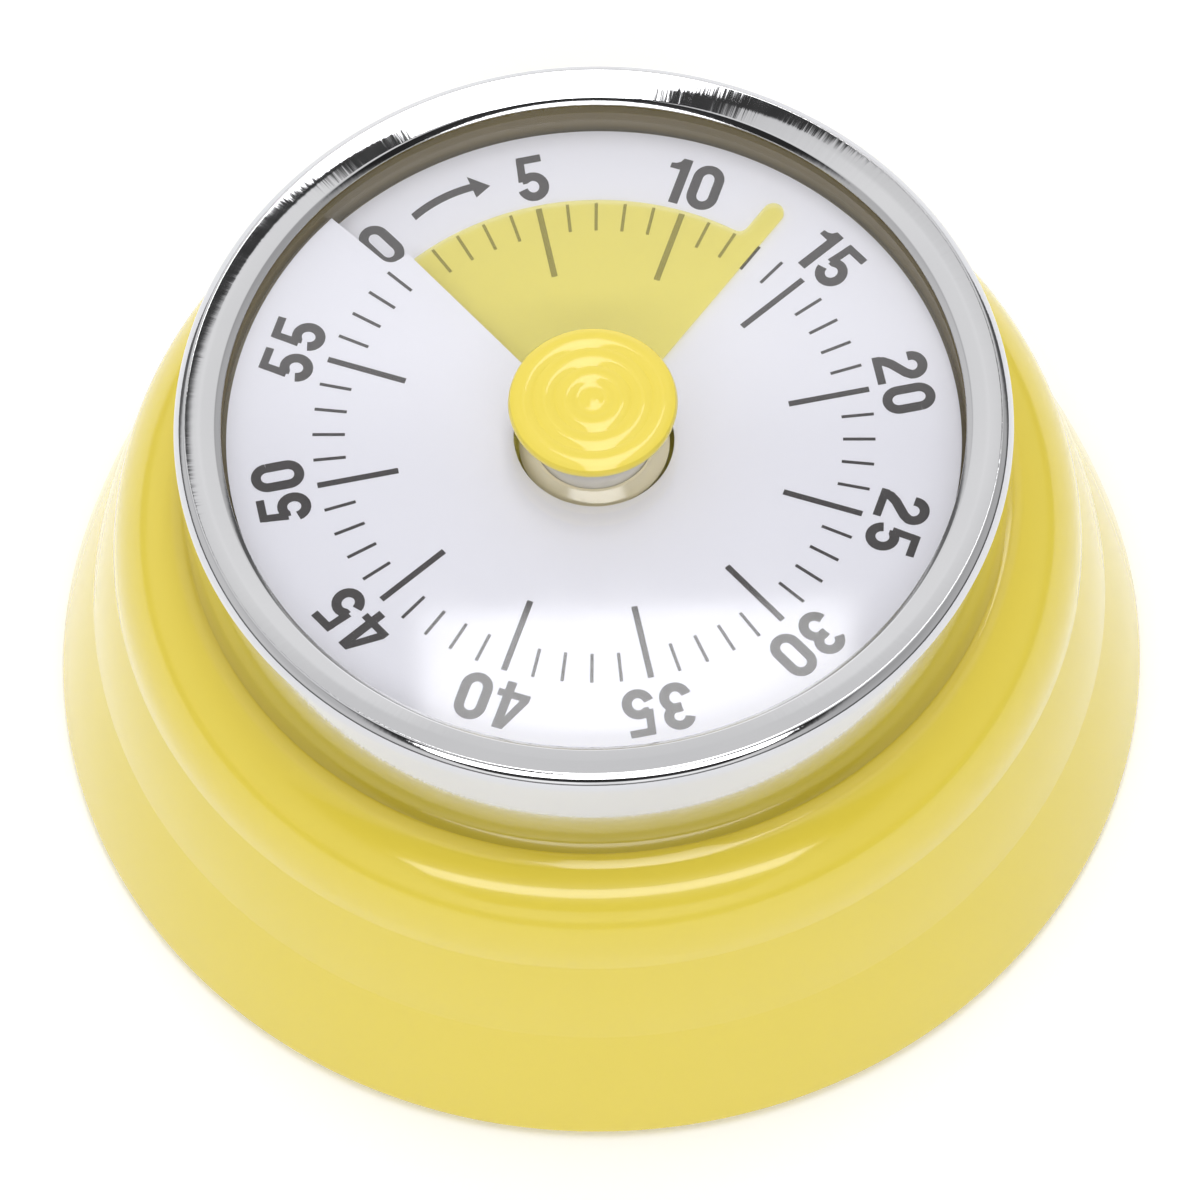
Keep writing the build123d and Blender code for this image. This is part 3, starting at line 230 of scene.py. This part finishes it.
def new_object(name, bm, smooth=True):
    """A mesh object from a bmesh, shaded smooth except across sharp edges."""
    bmesh.ops.recalc_face_normals(bm, faces=bm.faces)
    mesh = bpy.data.meshes.new(name)
    bm.to_mesh(mesh)
    bm.free()
    if smooth:
        mesh.shade_smooth()
        mesh.set_sharp_from_angle(angle=SHARP_ANGLE)
    piece = bpy.data.objects.new(name, mesh)
    bpy.context.scene.collection.objects.link(piece)
    return piece


def lathe(name, outline):
    """A solid turned about the dial axis from a closed outline of (radius, height)."""
    bm = bmesh.new()
    rings = []
    for radius, height in outline:
        if radius < MM:
            rings.append([bm.verts.new((0, 0, height * MM))])
            continue
        ring = []
        for step in range(SEGMENTS):
            angle = 2 * math.pi * step / SEGMENTS
            x, y = radius * math.cos(angle), radius * math.sin(angle)
            ring.append(bm.verts.new((x * MM, y * MM, height * MM)))
        rings.append(ring)
    for ring, following in zip(rings, rings[1:] + rings[:1]):
        for step in range(SEGMENTS):
            corners = []
            for vert in (
                ring[step % len(ring)],
                ring[(step + 1) % len(ring)],
                following[(step + 1) % len(following)],
                following[step % len(following)],
            ):
                if vert not in corners:
                    corners.append(vert)
            if len(corners) > 2:
                bm.faces.new(corners)
    return new_object(name, bm)


def dress(piece, body, slot, material, *replaced):
    """Puts a piece on its body with its material, and hides the CAD nodes it stands for."""
    piece.data.materials.clear()
    piece.data.materials.append(material)
    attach(piece, body)
    if replaced:
        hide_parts(*replaced)
    return piece


def dial_height(angle):
    """The height of the dial's upper face at a dial angle."""
    return DIAL_ZERO_HEIGHT + DIAL_PITCH * angle / TURN


def on_dial(radius, angle, lift=0):
    """The point over the dial at a radius and a dial angle."""
    around = math.radians(ZERO_LINE - angle)
    x, y = radius * math.cos(around), radius * math.sin(around)
    return Vector((x, y, dial_height(angle) + lift)) * MM


def thicken(bm, depth):
    """Makes a solid of the faces in bm, by a straight drop."""
    grown = bmesh.ops.extrude_face_region(bm, geom=bm.faces[:], use_keep_orig=True)
    for vert in [g for g in grown["geom"] if isinstance(g, bmesh.types.BMVert)]:
        vert.co.z -= depth * MM


# Materials -----------------------------------------------------------------------------------


class Surface:
    """A node material under construction: one Principled shader and what drives it."""

    def __init__(self, name, colour, roughness, **sockets):
        self.material = bpy.data.materials.new(name)
        self.material.use_nodes = True
        self.tree = self.material.node_tree
        self.shader = self.tree.nodes["Principled BSDF"]
        self.colour = colour
        self.shader.inputs["Base Color"].default_value = (*colour, 1)
        self.shader.inputs["Roughness"].default_value = roughness
        for socket, value in sockets.items():
            self.shader.inputs[socket.replace("_", " ")].default_value = value

    def node(self, kind, **settings):
        made = self.tree.nodes.new(kind)
        for name, value in settings.items():
            setattr(made, name, value)
        return made

    def link(self, source, target):
        self.tree.links.new(source, target)

    def position(self, stretch=(1, 1, 1)):
        """The point's place in the piece, in metres, stretched."""
        place = self.node("ShaderNodeTexCoord")
        scaled = self.node("ShaderNodeMapping")
        scaled.inputs["Scale"].default_value = stretch
        self.link(place.outputs["Object"], scaled.inputs["Vector"])
        return scaled.outputs["Vector"]

    def polar(self, turns, radial, height):
        """Place as angle round the dial axis, radius and height, each stretched."""
        place = self.node("ShaderNodeTexCoord")
        parts = self.node("ShaderNodeSeparateXYZ")
        self.link(place.outputs["Object"], parts.inputs["Vector"])
        flat = self.node("ShaderNodeCombineXYZ")
        self.link(parts.outputs["X"], flat.inputs["X"])
        self.link(parts.outputs["Y"], flat.inputs["Y"])
        unit = self.node("ShaderNodeVectorMath", operation="NORMALIZE")
        self.link(flat.outputs["Vector"], unit.inputs[0])
        spread = self.node("ShaderNodeVectorMath", operation="SCALE")
        spread.inputs["Scale"].default_value = turns
        self.link(unit.outputs["Vector"], spread.inputs[0])
        length = self.node("ShaderNodeVectorMath", operation="LENGTH")
        self.link(flat.outputs["Vector"], length.inputs[0])
        reach = self.node("ShaderNodeMath", operation="MULTIPLY")
        reach.inputs[1].default_value = radial
        self.link(length.outputs["Value"], reach.inputs[0])
        tall = self.node("ShaderNodeMath", operation="MULTIPLY_ADD")
        tall.inputs[1].default_value = height
        self.link(parts.outputs["Z"], tall.inputs[0])
        self.link(reach.outputs["Value"], tall.inputs[2])
        joined = self.node("ShaderNodeVectorMath", operation="ADD")
        rise = self.node("ShaderNodeCombineXYZ")
        self.link(tall.outputs["Value"], rise.inputs["Z"])
        self.link(spread.outputs["Vector"], joined.inputs[0])
        self.link(rise.outputs["Vector"], joined.inputs[1])
        return joined.outputs["Vector"]

    def noise(self, vector, scale, detail=3.0):
        made = self.node("ShaderNodeTexNoise")
        made.inputs["Scale"].default_value = scale
        made.inputs["Detail"].default_value = detail
        self.link(vector, made.inputs["Vector"])
        return made.outputs["Fac"]

    def vary_colour(self, factor, other):
        """Drifts the base colour towards another by a factor from a texture."""
        mix = self.node("ShaderNodeMix", data_type="RGBA")
        mix.inputs["A"].default_value = (*self.colour, 1)
        mix.inputs["B"].default_value = (*other, 1)
        self.link(factor, mix.inputs["Factor"])
        self.link(mix.outputs["Result"], self.shader.inputs["Base Color"])

    def vary_roughness(self, factor, low, high):
        spread = self.node("ShaderNodeMapRange")
        spread.inputs["From Min"].default_value = 0.3
        spread.inputs["From Max"].default_value = 0.7
        spread.inputs["To Min"].default_value = low
        spread.inputs["To Max"].default_value = high
        self.link(factor, spread.inputs["Value"])
        self.link(spread.outputs["Result"], self.shader.inputs["Roughness"])

    def see_through(self, tint, share=None, ior=1.49):
        """Mixes the shader into clear air of a tint, by a share or by what polish mirrors."""
        clear_air = self.node("ShaderNodeBsdfTransparent")
        clear_air.inputs["Color"].default_value = (*tint, 1)
        mix = self.node("ShaderNodeMixShader")
        if share is None:
            side = self.node("ShaderNodeNewGeometry")
            bend = self.node("ShaderNodeMath", operation="MULTIPLY_ADD")
            bend.inputs[1].default_value = 1 / ior - ior
            bend.inputs[2].default_value = ior
            mirror = self.node("ShaderNodeFresnel")
            self.link(side.outputs["Backfacing"], bend.inputs[0])
            self.link(bend.outputs["Value"], mirror.inputs["IOR"])
            self.link(mirror.outputs["Fac"], mix.inputs["Fac"])
        else:
            mix.inputs["Fac"].default_value = share
        self.link(clear_air.outputs["BSDF"], mix.inputs[1])
        self.link(self.shader.outputs["BSDF"], mix.inputs[2])
        self.link(mix.outputs["Shader"], self.tree.nodes["Material Output"].inputs["Surface"])

    def bump(self, factor, depth_mm):
        made = self.node("ShaderNodeBump")
        made.inputs["Distance"].default_value = depth_mm * MM
        made.inputs["Strength"].default_value = 1.0
        self.link(factor, made.inputs["Height"])
        self.link(made.outputs["Normal"], self.shader.inputs["Normal"])


def moulded(name, colour, shade, roughness, grain=900, depth_mm=0.004, **sockets):
    """Moulded plastic: slow drift of colour and gloss, and a fine skin."""
    surface = Surface(name, colour, roughness, **sockets)
    place = surface.position()
    surface.vary_colour(surface.noise(place, 60), shade)
    surface.vary_roughness(surface.noise(place, 60), roughness * 0.95, roughness * 1.08)
    surface.bump(surface.noise(place, grain, detail=2), depth_mm)
    return surface.material


def pane(name, tint, roughness):
    """Clear plastic too thin to bend what is behind it, with a polish that mirrors."""
    surface = Surface(name, (0.98, 0.98, 0.98), roughness, Metallic=1.0)
    surface.vary_colour(surface.noise(surface.position(), 60), (0.95, 0.95, 0.96))
    surface.vary_roughness(surface.noise(surface.position(), 200), roughness, roughness * 2)
    surface.see_through(tint)
    return surface.material


def tinted_film():
    """Thin yellow film that lets the print under it show."""
    surface = Surface("time_film", (0.98, 0.87, 0.10), 0.42)
    surface.vary_colour(surface.noise(surface.position(), 60), (0.97, 0.86, 0.10))
    surface.vary_roughness(surface.noise(surface.position(), 240), 0.36, 0.5)
    surface.see_through((1.0, 0.975, 0.70), 0.13)
    return surface.material


def metal(name, colour, shade, roughness, grain=(4000, 400, 400), depth_mm=0.002):
    """Bare metal with a drawn grain along one axis."""
    surface = Surface(name, colour, roughness, Metallic=1.0)
    streaks = surface.noise(surface.position(grain), 1.0, detail=4)
    surface.vary_colour(surface.noise(surface.position(), 120), shade)
    surface.vary_roughness(streaks, roughness * 0.75, roughness * 1.35)
    surface.bump(streaks, depth_mm)
    return surface.material


def chrome_plate():
    """Polished plate whose faint cross-brushing frays the edges of what it mirrors."""
    surface = Surface("chrome_plate", (0.69, 0.69, 0.70), 0.04, Metallic=1.0)
    brushed = surface.noise(surface.polar(60, 90, 90), 1.0, detail=3)
    surface.vary_colour(surface.noise(surface.position(), 90), (0.63, 0.63, 0.65))
    surface.vary_roughness(brushed, 0.03, 0.06)
    surface.bump(brushed, 0.006)
    return surface.material


yellow = moulded(
    "yellow_plastic",
    (0.815, 0.655, 0.064),
    (0.805, 0.645, 0.061),
    0.24,
    300,
    0.0003,
    Coat_Weight=0.68,
    Coat_Roughness=0.05,
)
cap_yellow = moulded(
    "cap_yellow",
    (0.87, 0.70, 0.07),
    (0.86, 0.69, 0.066),
    0.32,
    300,
    0.0004,
    Coat_Weight=0.6,
    Coat_Roughness=0.05,
)
back_yellow = moulded("yellow_back", (0.78, 0.66, 0.08), (0.74, 0.61, 0.07), 0.5, 2600, 0.02)
white = moulded("dial_sheet_white", (0.77, 0.77, 0.84), (0.76, 0.76, 0.83), 0.35, 600, 0.0002)
ink = moulded("printed_ink", (0.03, 0.026, 0.028), (0.036, 0.031, 0.033), 0.4, 900, 0.0003)
# The carrier is yellow plastic painted a dark olive: painted shade for the recess under the bezel, not
# the plastic's own colour.
carrier_painted_shade = moulded("carrier_yellow_painted_shade", (0.19, 0.145, 0.055), (0.12, 0.09, 0.03), 0.3, 500, 0.004)
hub_clear = moulded(
    "hub_clear",
    (0.98, 0.92, 0.76),
    (0.80, 0.72, 0.50),
    0.18,
    500,
    0.01,
    Coat_Weight=0.8,
    Coat_Roughness=0.05,
)
film = tinted_film()
lens_clear = pane("lens_acrylic", (0.995, 0.995, 0.995), 0.015)
clear = moulded(
    "clear_acrylic",
    (0.97, 0.96, 0.95),
    (0.90, 0.87, 0.82),
    0.08,
    700,
    0.03,
    Transmission_Weight=0.2,
    IOR=1.4,
    Coat_Weight=1.0,
    Coat_Roughness=0.03,
)
rubber = moulded("soft_rubber", (0.028, 0.028, 0.03), (0.04, 0.04, 0.042), 0.75, 3200, 0.03)
chrome = chrome_plate()
steel = metal("plated_steel", (0.60, 0.60, 0.62), (0.52, 0.52, 0.55), 0.28)
brass = metal("stamped_brass", (0.78, 0.58, 0.26), (0.68, 0.48, 0.20), 0.30)
blued = metal("blued_spring", (0.16, 0.19, 0.30), (0.22, 0.20, 0.30), 0.30)
bell_plate = metal("bell_plate", (0.70, 0.70, 0.72), (0.62, 0.62, 0.64), 0.16, (900, 900, 900))
nickel = metal("nickel_plate", (0.66, 0.64, 0.60), (0.58, 0.56, 0.53), 0.20, (700, 700, 700))

# Pieces --------------------------------------------------------------------------------------


def housing():
    """The ribbed cone, with the creases between its rings rolled soft."""
    outer = [
        *bulge(FOOT, LOWER_CREASE, FOOT_RISE)[1:],
        *bulge(LOWER_CREASE, UPPER_CREASE, RING_RISE)[1:],
        *bulge(UPPER_CREASE, SHOULDER_TOP, SHOULDER_RISE, SHOULDER_STEPS)[1:],
    ]
    corners = []
    for point in outer:
        crease = min((point - Vector(c)).length for c in (LOWER_CREASE, UPPER_CREASE))
        if crease > CREASE_RADIUS / 2 or crease == 0:
            corners.append((*point, CREASE_RADIUS) if crease == 0 else tuple(point))
    return lathe("housing_skin", rounded(corners + HOUSING_INSIDE))


dress(housing(), "case", "body_yellow", yellow, "housing_shell")

bezel = dress(lathe("bezel", rounded(BEZEL_OUTLINE, BEZEL_STEPS)), "case", "chrome", chrome, "bezel_ring")
bezel.visible_diffuse = False

lens_pane = lathe("lens_pane", rounded(LENS_OUTLINE, EDGE_STEPS))
lens = dress(lens_pane, "case", "clear_plastic", lens_clear, "lens")
lens.visible_shadow = False

cap_outline = list(CAP_EDGE)
for inner, outer in CAP_RIDGES:
    cap_outline += bulge((outer, CAP_TOP), (inner, CAP_TOP), CAP_RIDGE_RISE, RIDGE_STEPS)[1:]
cap_outline += CAP_MIDDLE + CAP_UNDERSIDE
dress(lathe("cap", cap_outline), "knob", "body_yellow", cap_yellow, "knob_cap")

stem_rod = lathe("stem", rounded(STEM_OUTLINE, EDGE_STEPS))
stem = dress(stem_rod, "knob", "clear_plastic", clear, "knob_stem")
stem.visible_shadow = False


def dial_sheet():
    """The dial as one thin sheet, with its slit and the step in it outside the time disc."""
    corner_outer = TONGUE_INNER + TONGUE_CORNER
    inner_step = (TONGUE_INNER - DIAL_HOLE) / INNER_RINGS
    corner_step = TONGUE_CORNER / CORNER_RINGS
    outer_step = (DIAL_RADIUS - corner_outer) / OUTER_RINGS
    radii = [DIAL_HOLE + inner_step * i for i in range(INNER_RINGS)] + [TONGUE_INNER]
    radii += [TONGUE_INNER + corner_step * i for i in range(1, CORNER_RINGS + 1)]
    radii += [corner_outer + outer_step * i for i in range(1, OUTER_RINGS + 1)]
    tongue = [-TONGUE_ANGLE + TONGUE_ANGLE * i / TONGUE_STEPS for i in range(TONGUE_STEPS)]
    angles = tongue + list(range(0, TURN - DEGREES_PER_MINUTE, SHEET_STEP))

    def slit_edge(radius):
        into = max(corner_outer - radius, 0)
        extra = TONGUE_CORNER - math.sqrt(TONGUE_CORNER**2 - min(into, TONGUE_CORNER) ** 2)
        return TURN - TONGUE_ANGLE + math.degrees(extra / radius)

    bm = bmesh.new()
    rows = []
    for radius in radii:
        row = [bm.verts.new(on_dial(radius, angle)) for angle in angles]
        row.append(bm.verts.new(on_dial(radius, slit_edge(max(radius, TONGUE_INNER)))))
        row.append(bm.verts.new(on_dial(radius, TURN)) if radius <= TONGUE_INNER else None)
        rows.append(row)
    for i in range(len(radii) - 1):
        outside = radii[i] >= TONGUE_INNER
        first, last = (0, len(angles)) if outside else (len(tongue), len(angles) + 1)
        for j in range(first, last):
            corners = (rows[i][j], rows[i][j + 1], rows[i + 1][j + 1], rows[i + 1][j])
            bm.faces.new(corners)
    loose = [v for v in bm.verts if not v.link_faces]
    bmesh.ops.delete(bm, geom=loose, context="VERTS")
    thicken(bm, DIAL_THICKNESS)
    return new_object("dial_sheet", bm)


dress(dial_sheet(), "case", "dial_white", white, "dial")

# Print on the dial ---------------------------------------------------------------------------


def ellipse(x, y, across, up, start, end):
    """Points along part of an ellipse, in degrees."""
    points = []
    for step in range(ARC_STEPS + 1):
        angle = math.radians(start + (end - start) * step / ARC_STEPS)
        points.append((x + across * math.cos(angle), y + up * math.sin(angle)))
    return points


def stroke(points):
    """Four-cornered pieces along a line, mitred where it bends."""
    points = [Vector(p) for p in points]
    sides = []
    for i, point in enumerate(points):
        before = (point - points[i - 1]).normalized() if i else None
        after = (points[i + 1] - point).normalized() if i + 1 < len(points) else None
        along = ((before or after) + (after or before)).normalized()
        square = Vector((-along.y, along.x))
        lean = square.dot(Vector((-(after or before).y, (after or before).x)))
        sides.append((point + square * STROKE / 2 / lean, point - square * STROKE / 2 / lean))
    return [(a, b, d, c) for (a, b), (c, d) in zip(sides, sides[1:])]


def numeral_shapes():
    """Each digit as convex shapes that may overlap, one unit high."""
    half = STROKE / 2
    right = 0.6 - half
    low_bowl = (0.3, half + 0.225, 0.3 - half, 0.225)
    high_bowl = (0.3, 1 - half - 0.19, 0.3 - half - 0.01, 0.19)
    zero = [
        *ellipse(0.3, 1 - half - 0.22, 0.3 - half, 0.22, 0, 180),
        *ellipse(0.3, half + 0.22, 0.3 - half, 0.22, 180, 360),
        (right, 1 - half - 0.22),
    ]
    two = [
        (half, 0.66),
        *ellipse(0.3, 1 - half - 0.2, 0.3 - half, 0.2, 180, -25)[:-1],
        (0.44, 0.56),
        (0.2, 0.33),
        (0.115, 0.2),
        (0.1, 0.1),
    ]
    return {
        "0": stroke(zero),
        "1": [
            [(0.2, 0), (0.38, 0), (0.38, 1), (0.2, 1)],
            [(0.2, 0.74), (0.2, 0.99), (0.16, 0.91), (0.09, 0.865), (0, 0.85), (0, 0.74)],
        ],
        "2": stroke(two) + [[(0, 0), (0.6, 0), (0.6, 0.155), (0, 0.155)]],
        "3": stroke([*ellipse(*high_bowl, 170, -90), (0.22, high_bowl[1] - 0.19)])
        + stroke([(0.22, high_bowl[1] - 0.19), *ellipse(*low_bowl, 90, -170)]),
        "4": [
            [(0.33, 0), (0.5, 0), (0.5, 1), (0.33, 1)],
            [(0, 0.19), (0.61, 0.19), (0.61, 0.335), (0, 0.335)],
            [(0, 0.33), (0.165, 0.33), (0.335, 0.74), (0.335, 1), (0.3, 1)],
        ],
        "5": [
            [(0.075, 0.845), (0.555, 0.845), (0.555, 1), (0.095, 1)],
            [(0.045, 0.46), (0.2, 0.46), (0.235, 1), (0.095, 1)],
        ]
        + stroke([(0.12, 0.5), *ellipse(*low_bowl, 125, -170)]),
    }


def union(shapes):
    """One set of faces that covers all of some overlapping flat shapes."""
    points, faces = [], []
    for shape in shapes:
        faces.append(list(range(len(points), len(points) + len(shape))))
        points += [Vector(p) for p in shape]
    verts, _, triangles, _, _, origins = delaunay_2d_cdt(points, [], faces, 1, 1e-5)
    return verts, [face for face, origin in zip(triangles, origins) if origin]


def print_faces(bm, verts, triangles, place):
    """Adds flat faces to the print, each corner put on the dial by place."""
    made = [bm.verts.new(place(v)) for v in verts]
    for triangle in triangles:
        bm.faces.new([made[i] for i in triangle])


def minute_lines(bm):
    """Adds a line for every minute but zero, long at each fifth."""
    for minute in range(1, MINUTES):
        long = minute % NUMERAL_STEP == 0
        half = (LONG_TICK_WIDTH if long else SHORT_TICK_WIDTH) / 2
        inner = LONG_TICK_INNER if long else SHORT_TICK_INNER
        corners = [(-half, inner), (half, inner), (half, TICK_OUTER), (-half, TICK_OUTER)]

        def on_line(v, angle=minute * DEGREES_PER_MINUTE):
            return on_dial(v.y, angle + math.degrees(v.x / v.y), INK_LIFT)

        print_faces(bm, *union([corners]), on_line)


def numerals(bm):
    """Adds the number of every fifth minute, upright to the dial's centre."""
    shapes = numeral_shapes()
    for minute in range(0, MINUTES, NUMERAL_STEP):
        digits = [union(shapes[digit]) for digit in str(minute)]
        widths = [max(v.x for v in verts) for verts, _ in digits]
        gap = NUMERAL_GAP * (len(digits) - 1)
        start = -(sum(widths) + gap) / 2
        middle = minute * DEGREES_PER_MINUTE - (0 if minute else ZERO_NUDGE)
        for (verts, triangles), width in zip(digits, widths):

            def on_numeral(v, start=start, middle=middle):
                across = (start + v.x) * NUMERAL_HEIGHT
                out = NUMERAL_BASE + v.y * NUMERAL_HEIGHT
                turned = math.degrees(math.atan2(across, out))
                return on_dial(math.hypot(across, out), middle + turned, INK_LIFT)

            print_faces(bm, verts, triangles, on_numeral)
            start += width + NUMERAL_GAP


def arrow(bm):
    """Adds the arrow from zero towards five, as (dial angle, radius) bent to the dial."""
    span = (ARROW_NECK + ARROW_OVERLAP - ARROW_START) / ARROW_STEPS
    shaft = []
    for i in range(ARROW_STEPS):
        start, end = ARROW_START + span * i, ARROW_START + span * (i + 1)
        low, high = -ARROW_HALF_WIDTH, ARROW_HALF_WIDTH
        shaft.append([(start, low), (end, low), (end, high), (start, high)])
    head = [
        (ARROW_NECK, -ARROW_HEAD_HALF_WIDTH),
        (ARROW_TIP, ARROW_TIP_Y),
        (ARROW_NECK, ARROW_HEAD_HALF_WIDTH),
    ]

    def on_arrow(v):
        along = (v.x - ARROW_START) / (ARROW_TIP - ARROW_START)
        bow = ARROW_BOW * 4 * along * (1 - along)
        return on_dial(ARROW_RADIUS + bow + v.y, v.x, INK_LIFT)

    print_faces(bm, *union(shaft + [head]), on_arrow)


def dial_print():
    """Minute lines, numerals and the arrow, as a thin layer of ink on the dial."""
    bm = bmesh.new()
    minute_lines(bm)
    numerals(bm)
    arrow(bm)
    thicken(bm, INK_DEPTH)
    return new_object("dial_print", bm, smooth=False)


dress(dial_print(), "case", "dial_white", ink)

# Materials of the CAD nodes that show their own shape -------------------------------------------

SLOT_MATERIALS = {
    "body_yellow": yellow,
    "chrome": chrome,
    "clear_plastic": clear,
    "back_plastic": back_yellow,
    "steel": steel,
    "magnet": nickel,
    "rubber": rubber,
    "dial_white": white,
    # The carrier takes the dark olive that paints the shade under the bezel.
    "carrier_plastic": carrier_painted_shade,
    "disc_yellow": film,
    "plate_steel": steel,
    "brass": brass,
    "spring_steel": blued,
    "bell_steel": bell_plate,
}
for subpart in frame["record"]["subparts"]:
    mesh = nodes[subpart["node"]].data
    mesh.materials.clear()
    mesh.materials.append(SLOT_MATERIALS[subpart["material_slot"]])
nodes["disc_hub"].data.materials[0] = hub_clear

# Stage ---------------------------------------------------------------------------------------


def pale_floor():
    """A wide white floor with a breath of its own light."""
    glow = {"Emission_Color": (0.97, 0.98, 1.0, 1), "Emission_Strength": 0.14}
    surface = Surface("pale_floor", (0.97, 0.975, 0.99), 0.8, **glow)
    surface.vary_colour(surface.noise(surface.position(), 30), (0.96, 0.965, 0.98))
    bm = bmesh.new()
    bmesh.ops.create_circle(bm, cap_ends=True, segments=96, radius=FLOOR_RADIUS)
    made = new_object("floor", bm)
    made.data.materials.append(surface.material)
    return made


floor = pale_floor()


class Sky:
    """The world's shader under construction, as sums and ramps over the direction looked in."""

    def __init__(self, name):
        world = bpy.data.worlds.new(name)
        bpy.context.scene.world = world
        world.use_nodes = True
        self.tree = world.node_tree
        self.background = self.tree.nodes["Background"]
        self.background.inputs["Color"].default_value = (1.0, 1.0, 1.0, 1)

    def node(self, kind):
        return self.tree.nodes.new(kind)

    def link(self, source, target):
        self.tree.links.new(source, target)

    def math(self, operation, *values):
        """A sum of one or two values, each a number or a socket."""
        made = self.node("ShaderNodeMath")
        made.operation = operation
        for socket, value in zip(made.inputs, values):
            if isinstance(value, (int, float)):
                socket.default_value = value
            else:
                self.link(value, socket)
        return made.outputs["Value"]

    def ramp(self, value, low, high, to_low=0.0, to_high=1.0):
        """A smooth step from to_low at low to to_high at high."""
        made = self.node("ShaderNodeMapRange")
        made.interpolation_type = "SMOOTHSTEP"
        made.inputs["From Min"].default_value = low
        made.inputs["From Max"].default_value = high
        made.inputs["To Min"].default_value = to_low
        made.inputs["To Max"].default_value = to_high
        self.link(value, made.inputs["Value"])
        return made.outputs["Result"]

    def fall(self, value, low, high, to_high=0.0):
        """A smooth step down from one."""
        return self.ramp(value, low, high, 1.0, to_high)

    def product(self, *factors):
        total = factors[0]
        for factor in factors[1:]:
            total = self.math("MULTIPLY", total, factor)
        return total


def studio_world():
    """A white studio: an overhead softbox, a darker ceiling round it and pale walls.

    A direction is given by how far it leans across and along, per unit that it rises.
    """
    sky = Sky("studio")
    ramp, fall, product = sky.ramp, sky.fall, sky.product
    place = sky.node("ShaderNodeTexCoord")
    parts = sky.node("ShaderNodeSeparateXYZ")
    sky.link(place.outputs["Generated"], parts.inputs["Vector"])
    x, y, z = (parts.outputs[axis] for axis in "XYZ")
    rise = sky.math("MAXIMUM", z, 0.001)
    across = sky.math("DIVIDE", x, rise)
    along = sky.math("DIVIDE", y, rise)
    aside = sky.math("ABSOLUTE", across)

    off_centre = sky.math("ABSOLUTE", sky.math("ADD", across, -0.055))
    softbox = product(fall(off_centre, 0.13, 0.15), fall(along, 0.56, 0.576), ramp(along, -0.34, -0.26))
    gap = product(fall(off_centre, 0.20, 0.25), fall(along, 0.62, 0.72), ramp(along, -0.60, -0.40))
    strip = product(ramp(along, -1.28, -1.20), fall(along, -0.94, -0.88), fall(aside, 0.85, 0.95))
    camera_side = product(ramp(along, -2.6, -2.2), fall(along, -0.42, -0.32), fall(aside, 0.9, 1.4))
    room = product(
        fall(x, 0.25, 0.75, RIGHT_LIGHT),
        ramp(x, -0.75, -0.25, LEFT_LIGHT, 1.0),
        fall(camera_side, 0.0, 1.0, CAMERA_SIDE_LIGHT),
    )
    lamps = sky.math("ADD", product(softbox, SOFTBOX_LIGHT), product(strip, STRIP_LIGHT))
    ceiling = product(
        ramp(gap, 0.0, 1.0, CEILING_LIGHT, GAP_LIGHT), fall(aside, 0.18, 0.36, CEILING_SIDE_GAIN), room
    )
    outside = sky.math("ADD", lamps, ceiling)

    # What the lens mirrors to the camera: a bright patch low on the dial, then a pale ceiling
    window = product(fall(aside, 0.07, 0.08), ramp(along, 0.48, 0.50), fall(along, 0.68, 0.70))
    patch_side = sky.math("ABSOLUTE", sky.math("ADD", across, -0.004))
    patch = product(fall(patch_side, 0.022, 0.026), fall(along, 0.566, 0.570))
    beyond = ramp(along, 0.585, 0.605, GAP_LIGHT, LENS_UPPER_LIGHT)
    mirrored = sky.math("ADD", product(patch, LENS_PATCH_LIGHT), beyond)
    shown = sky.node("ShaderNodeMix")
    sky.link(window, shown.inputs["Factor"])
    sky.link(outside, shown.inputs["A"])
    sky.link(mirrored, shown.inputs["B"])

    overhead = product(shown.outputs["Result"], ramp(z, 0.1, 0.2))
    walls = product(ramp(z, 0.30, 0.62, WALL_LIGHT, 0.0), fall(y, 0.75, 0.95, FAR_WALL_GAIN), room)
    sky.link(sky.math("ADD", overhead, walls), sky.background.inputs["Strength"])


studio_world()

# Camera --------------------------------------------------------------------------------------


def add_camera():
    """The camera, which looks down at the dial from in front."""
    forward = Vector((0, math.cos(CAMERA_ELEVATION), -math.sin(CAMERA_ELEVATION)))
    level_up = Vector((0, math.sin(CAMERA_ELEVATION), math.cos(CAMERA_ELEVATION)))
    level_right = Vector((1, 0, 0))
    right = level_right * math.cos(CAMERA_ROLL) + level_up * math.sin(CAMERA_ROLL)
    up = level_up * math.cos(CAMERA_ROLL) - level_right * math.sin(CAMERA_ROLL)
    place = DIAL_CENTRE + right * CAMERA_AIM[0] + up * CAMERA_AIM[1] - forward * CAMERA_DISTANCE
    turn = Matrix((right, up, -forward)).transposed().to_4x4()
    data = bpy.data.cameras.new("camera")
    data.lens = CAMERA_LENS
    data.sensor_width = CAMERA_SENSOR
    data.clip_start, data.clip_end = CAMERA_CLIP
    camera = bpy.data.objects.new("camera", data)
    camera.matrix_world = Matrix.Translation(place) @ turn
    bpy.context.scene.collection.objects.link(camera)
    bpy.context.scene.camera = camera


add_camera()
bpy.context.scene.view_settings.view_transform = "Standard"
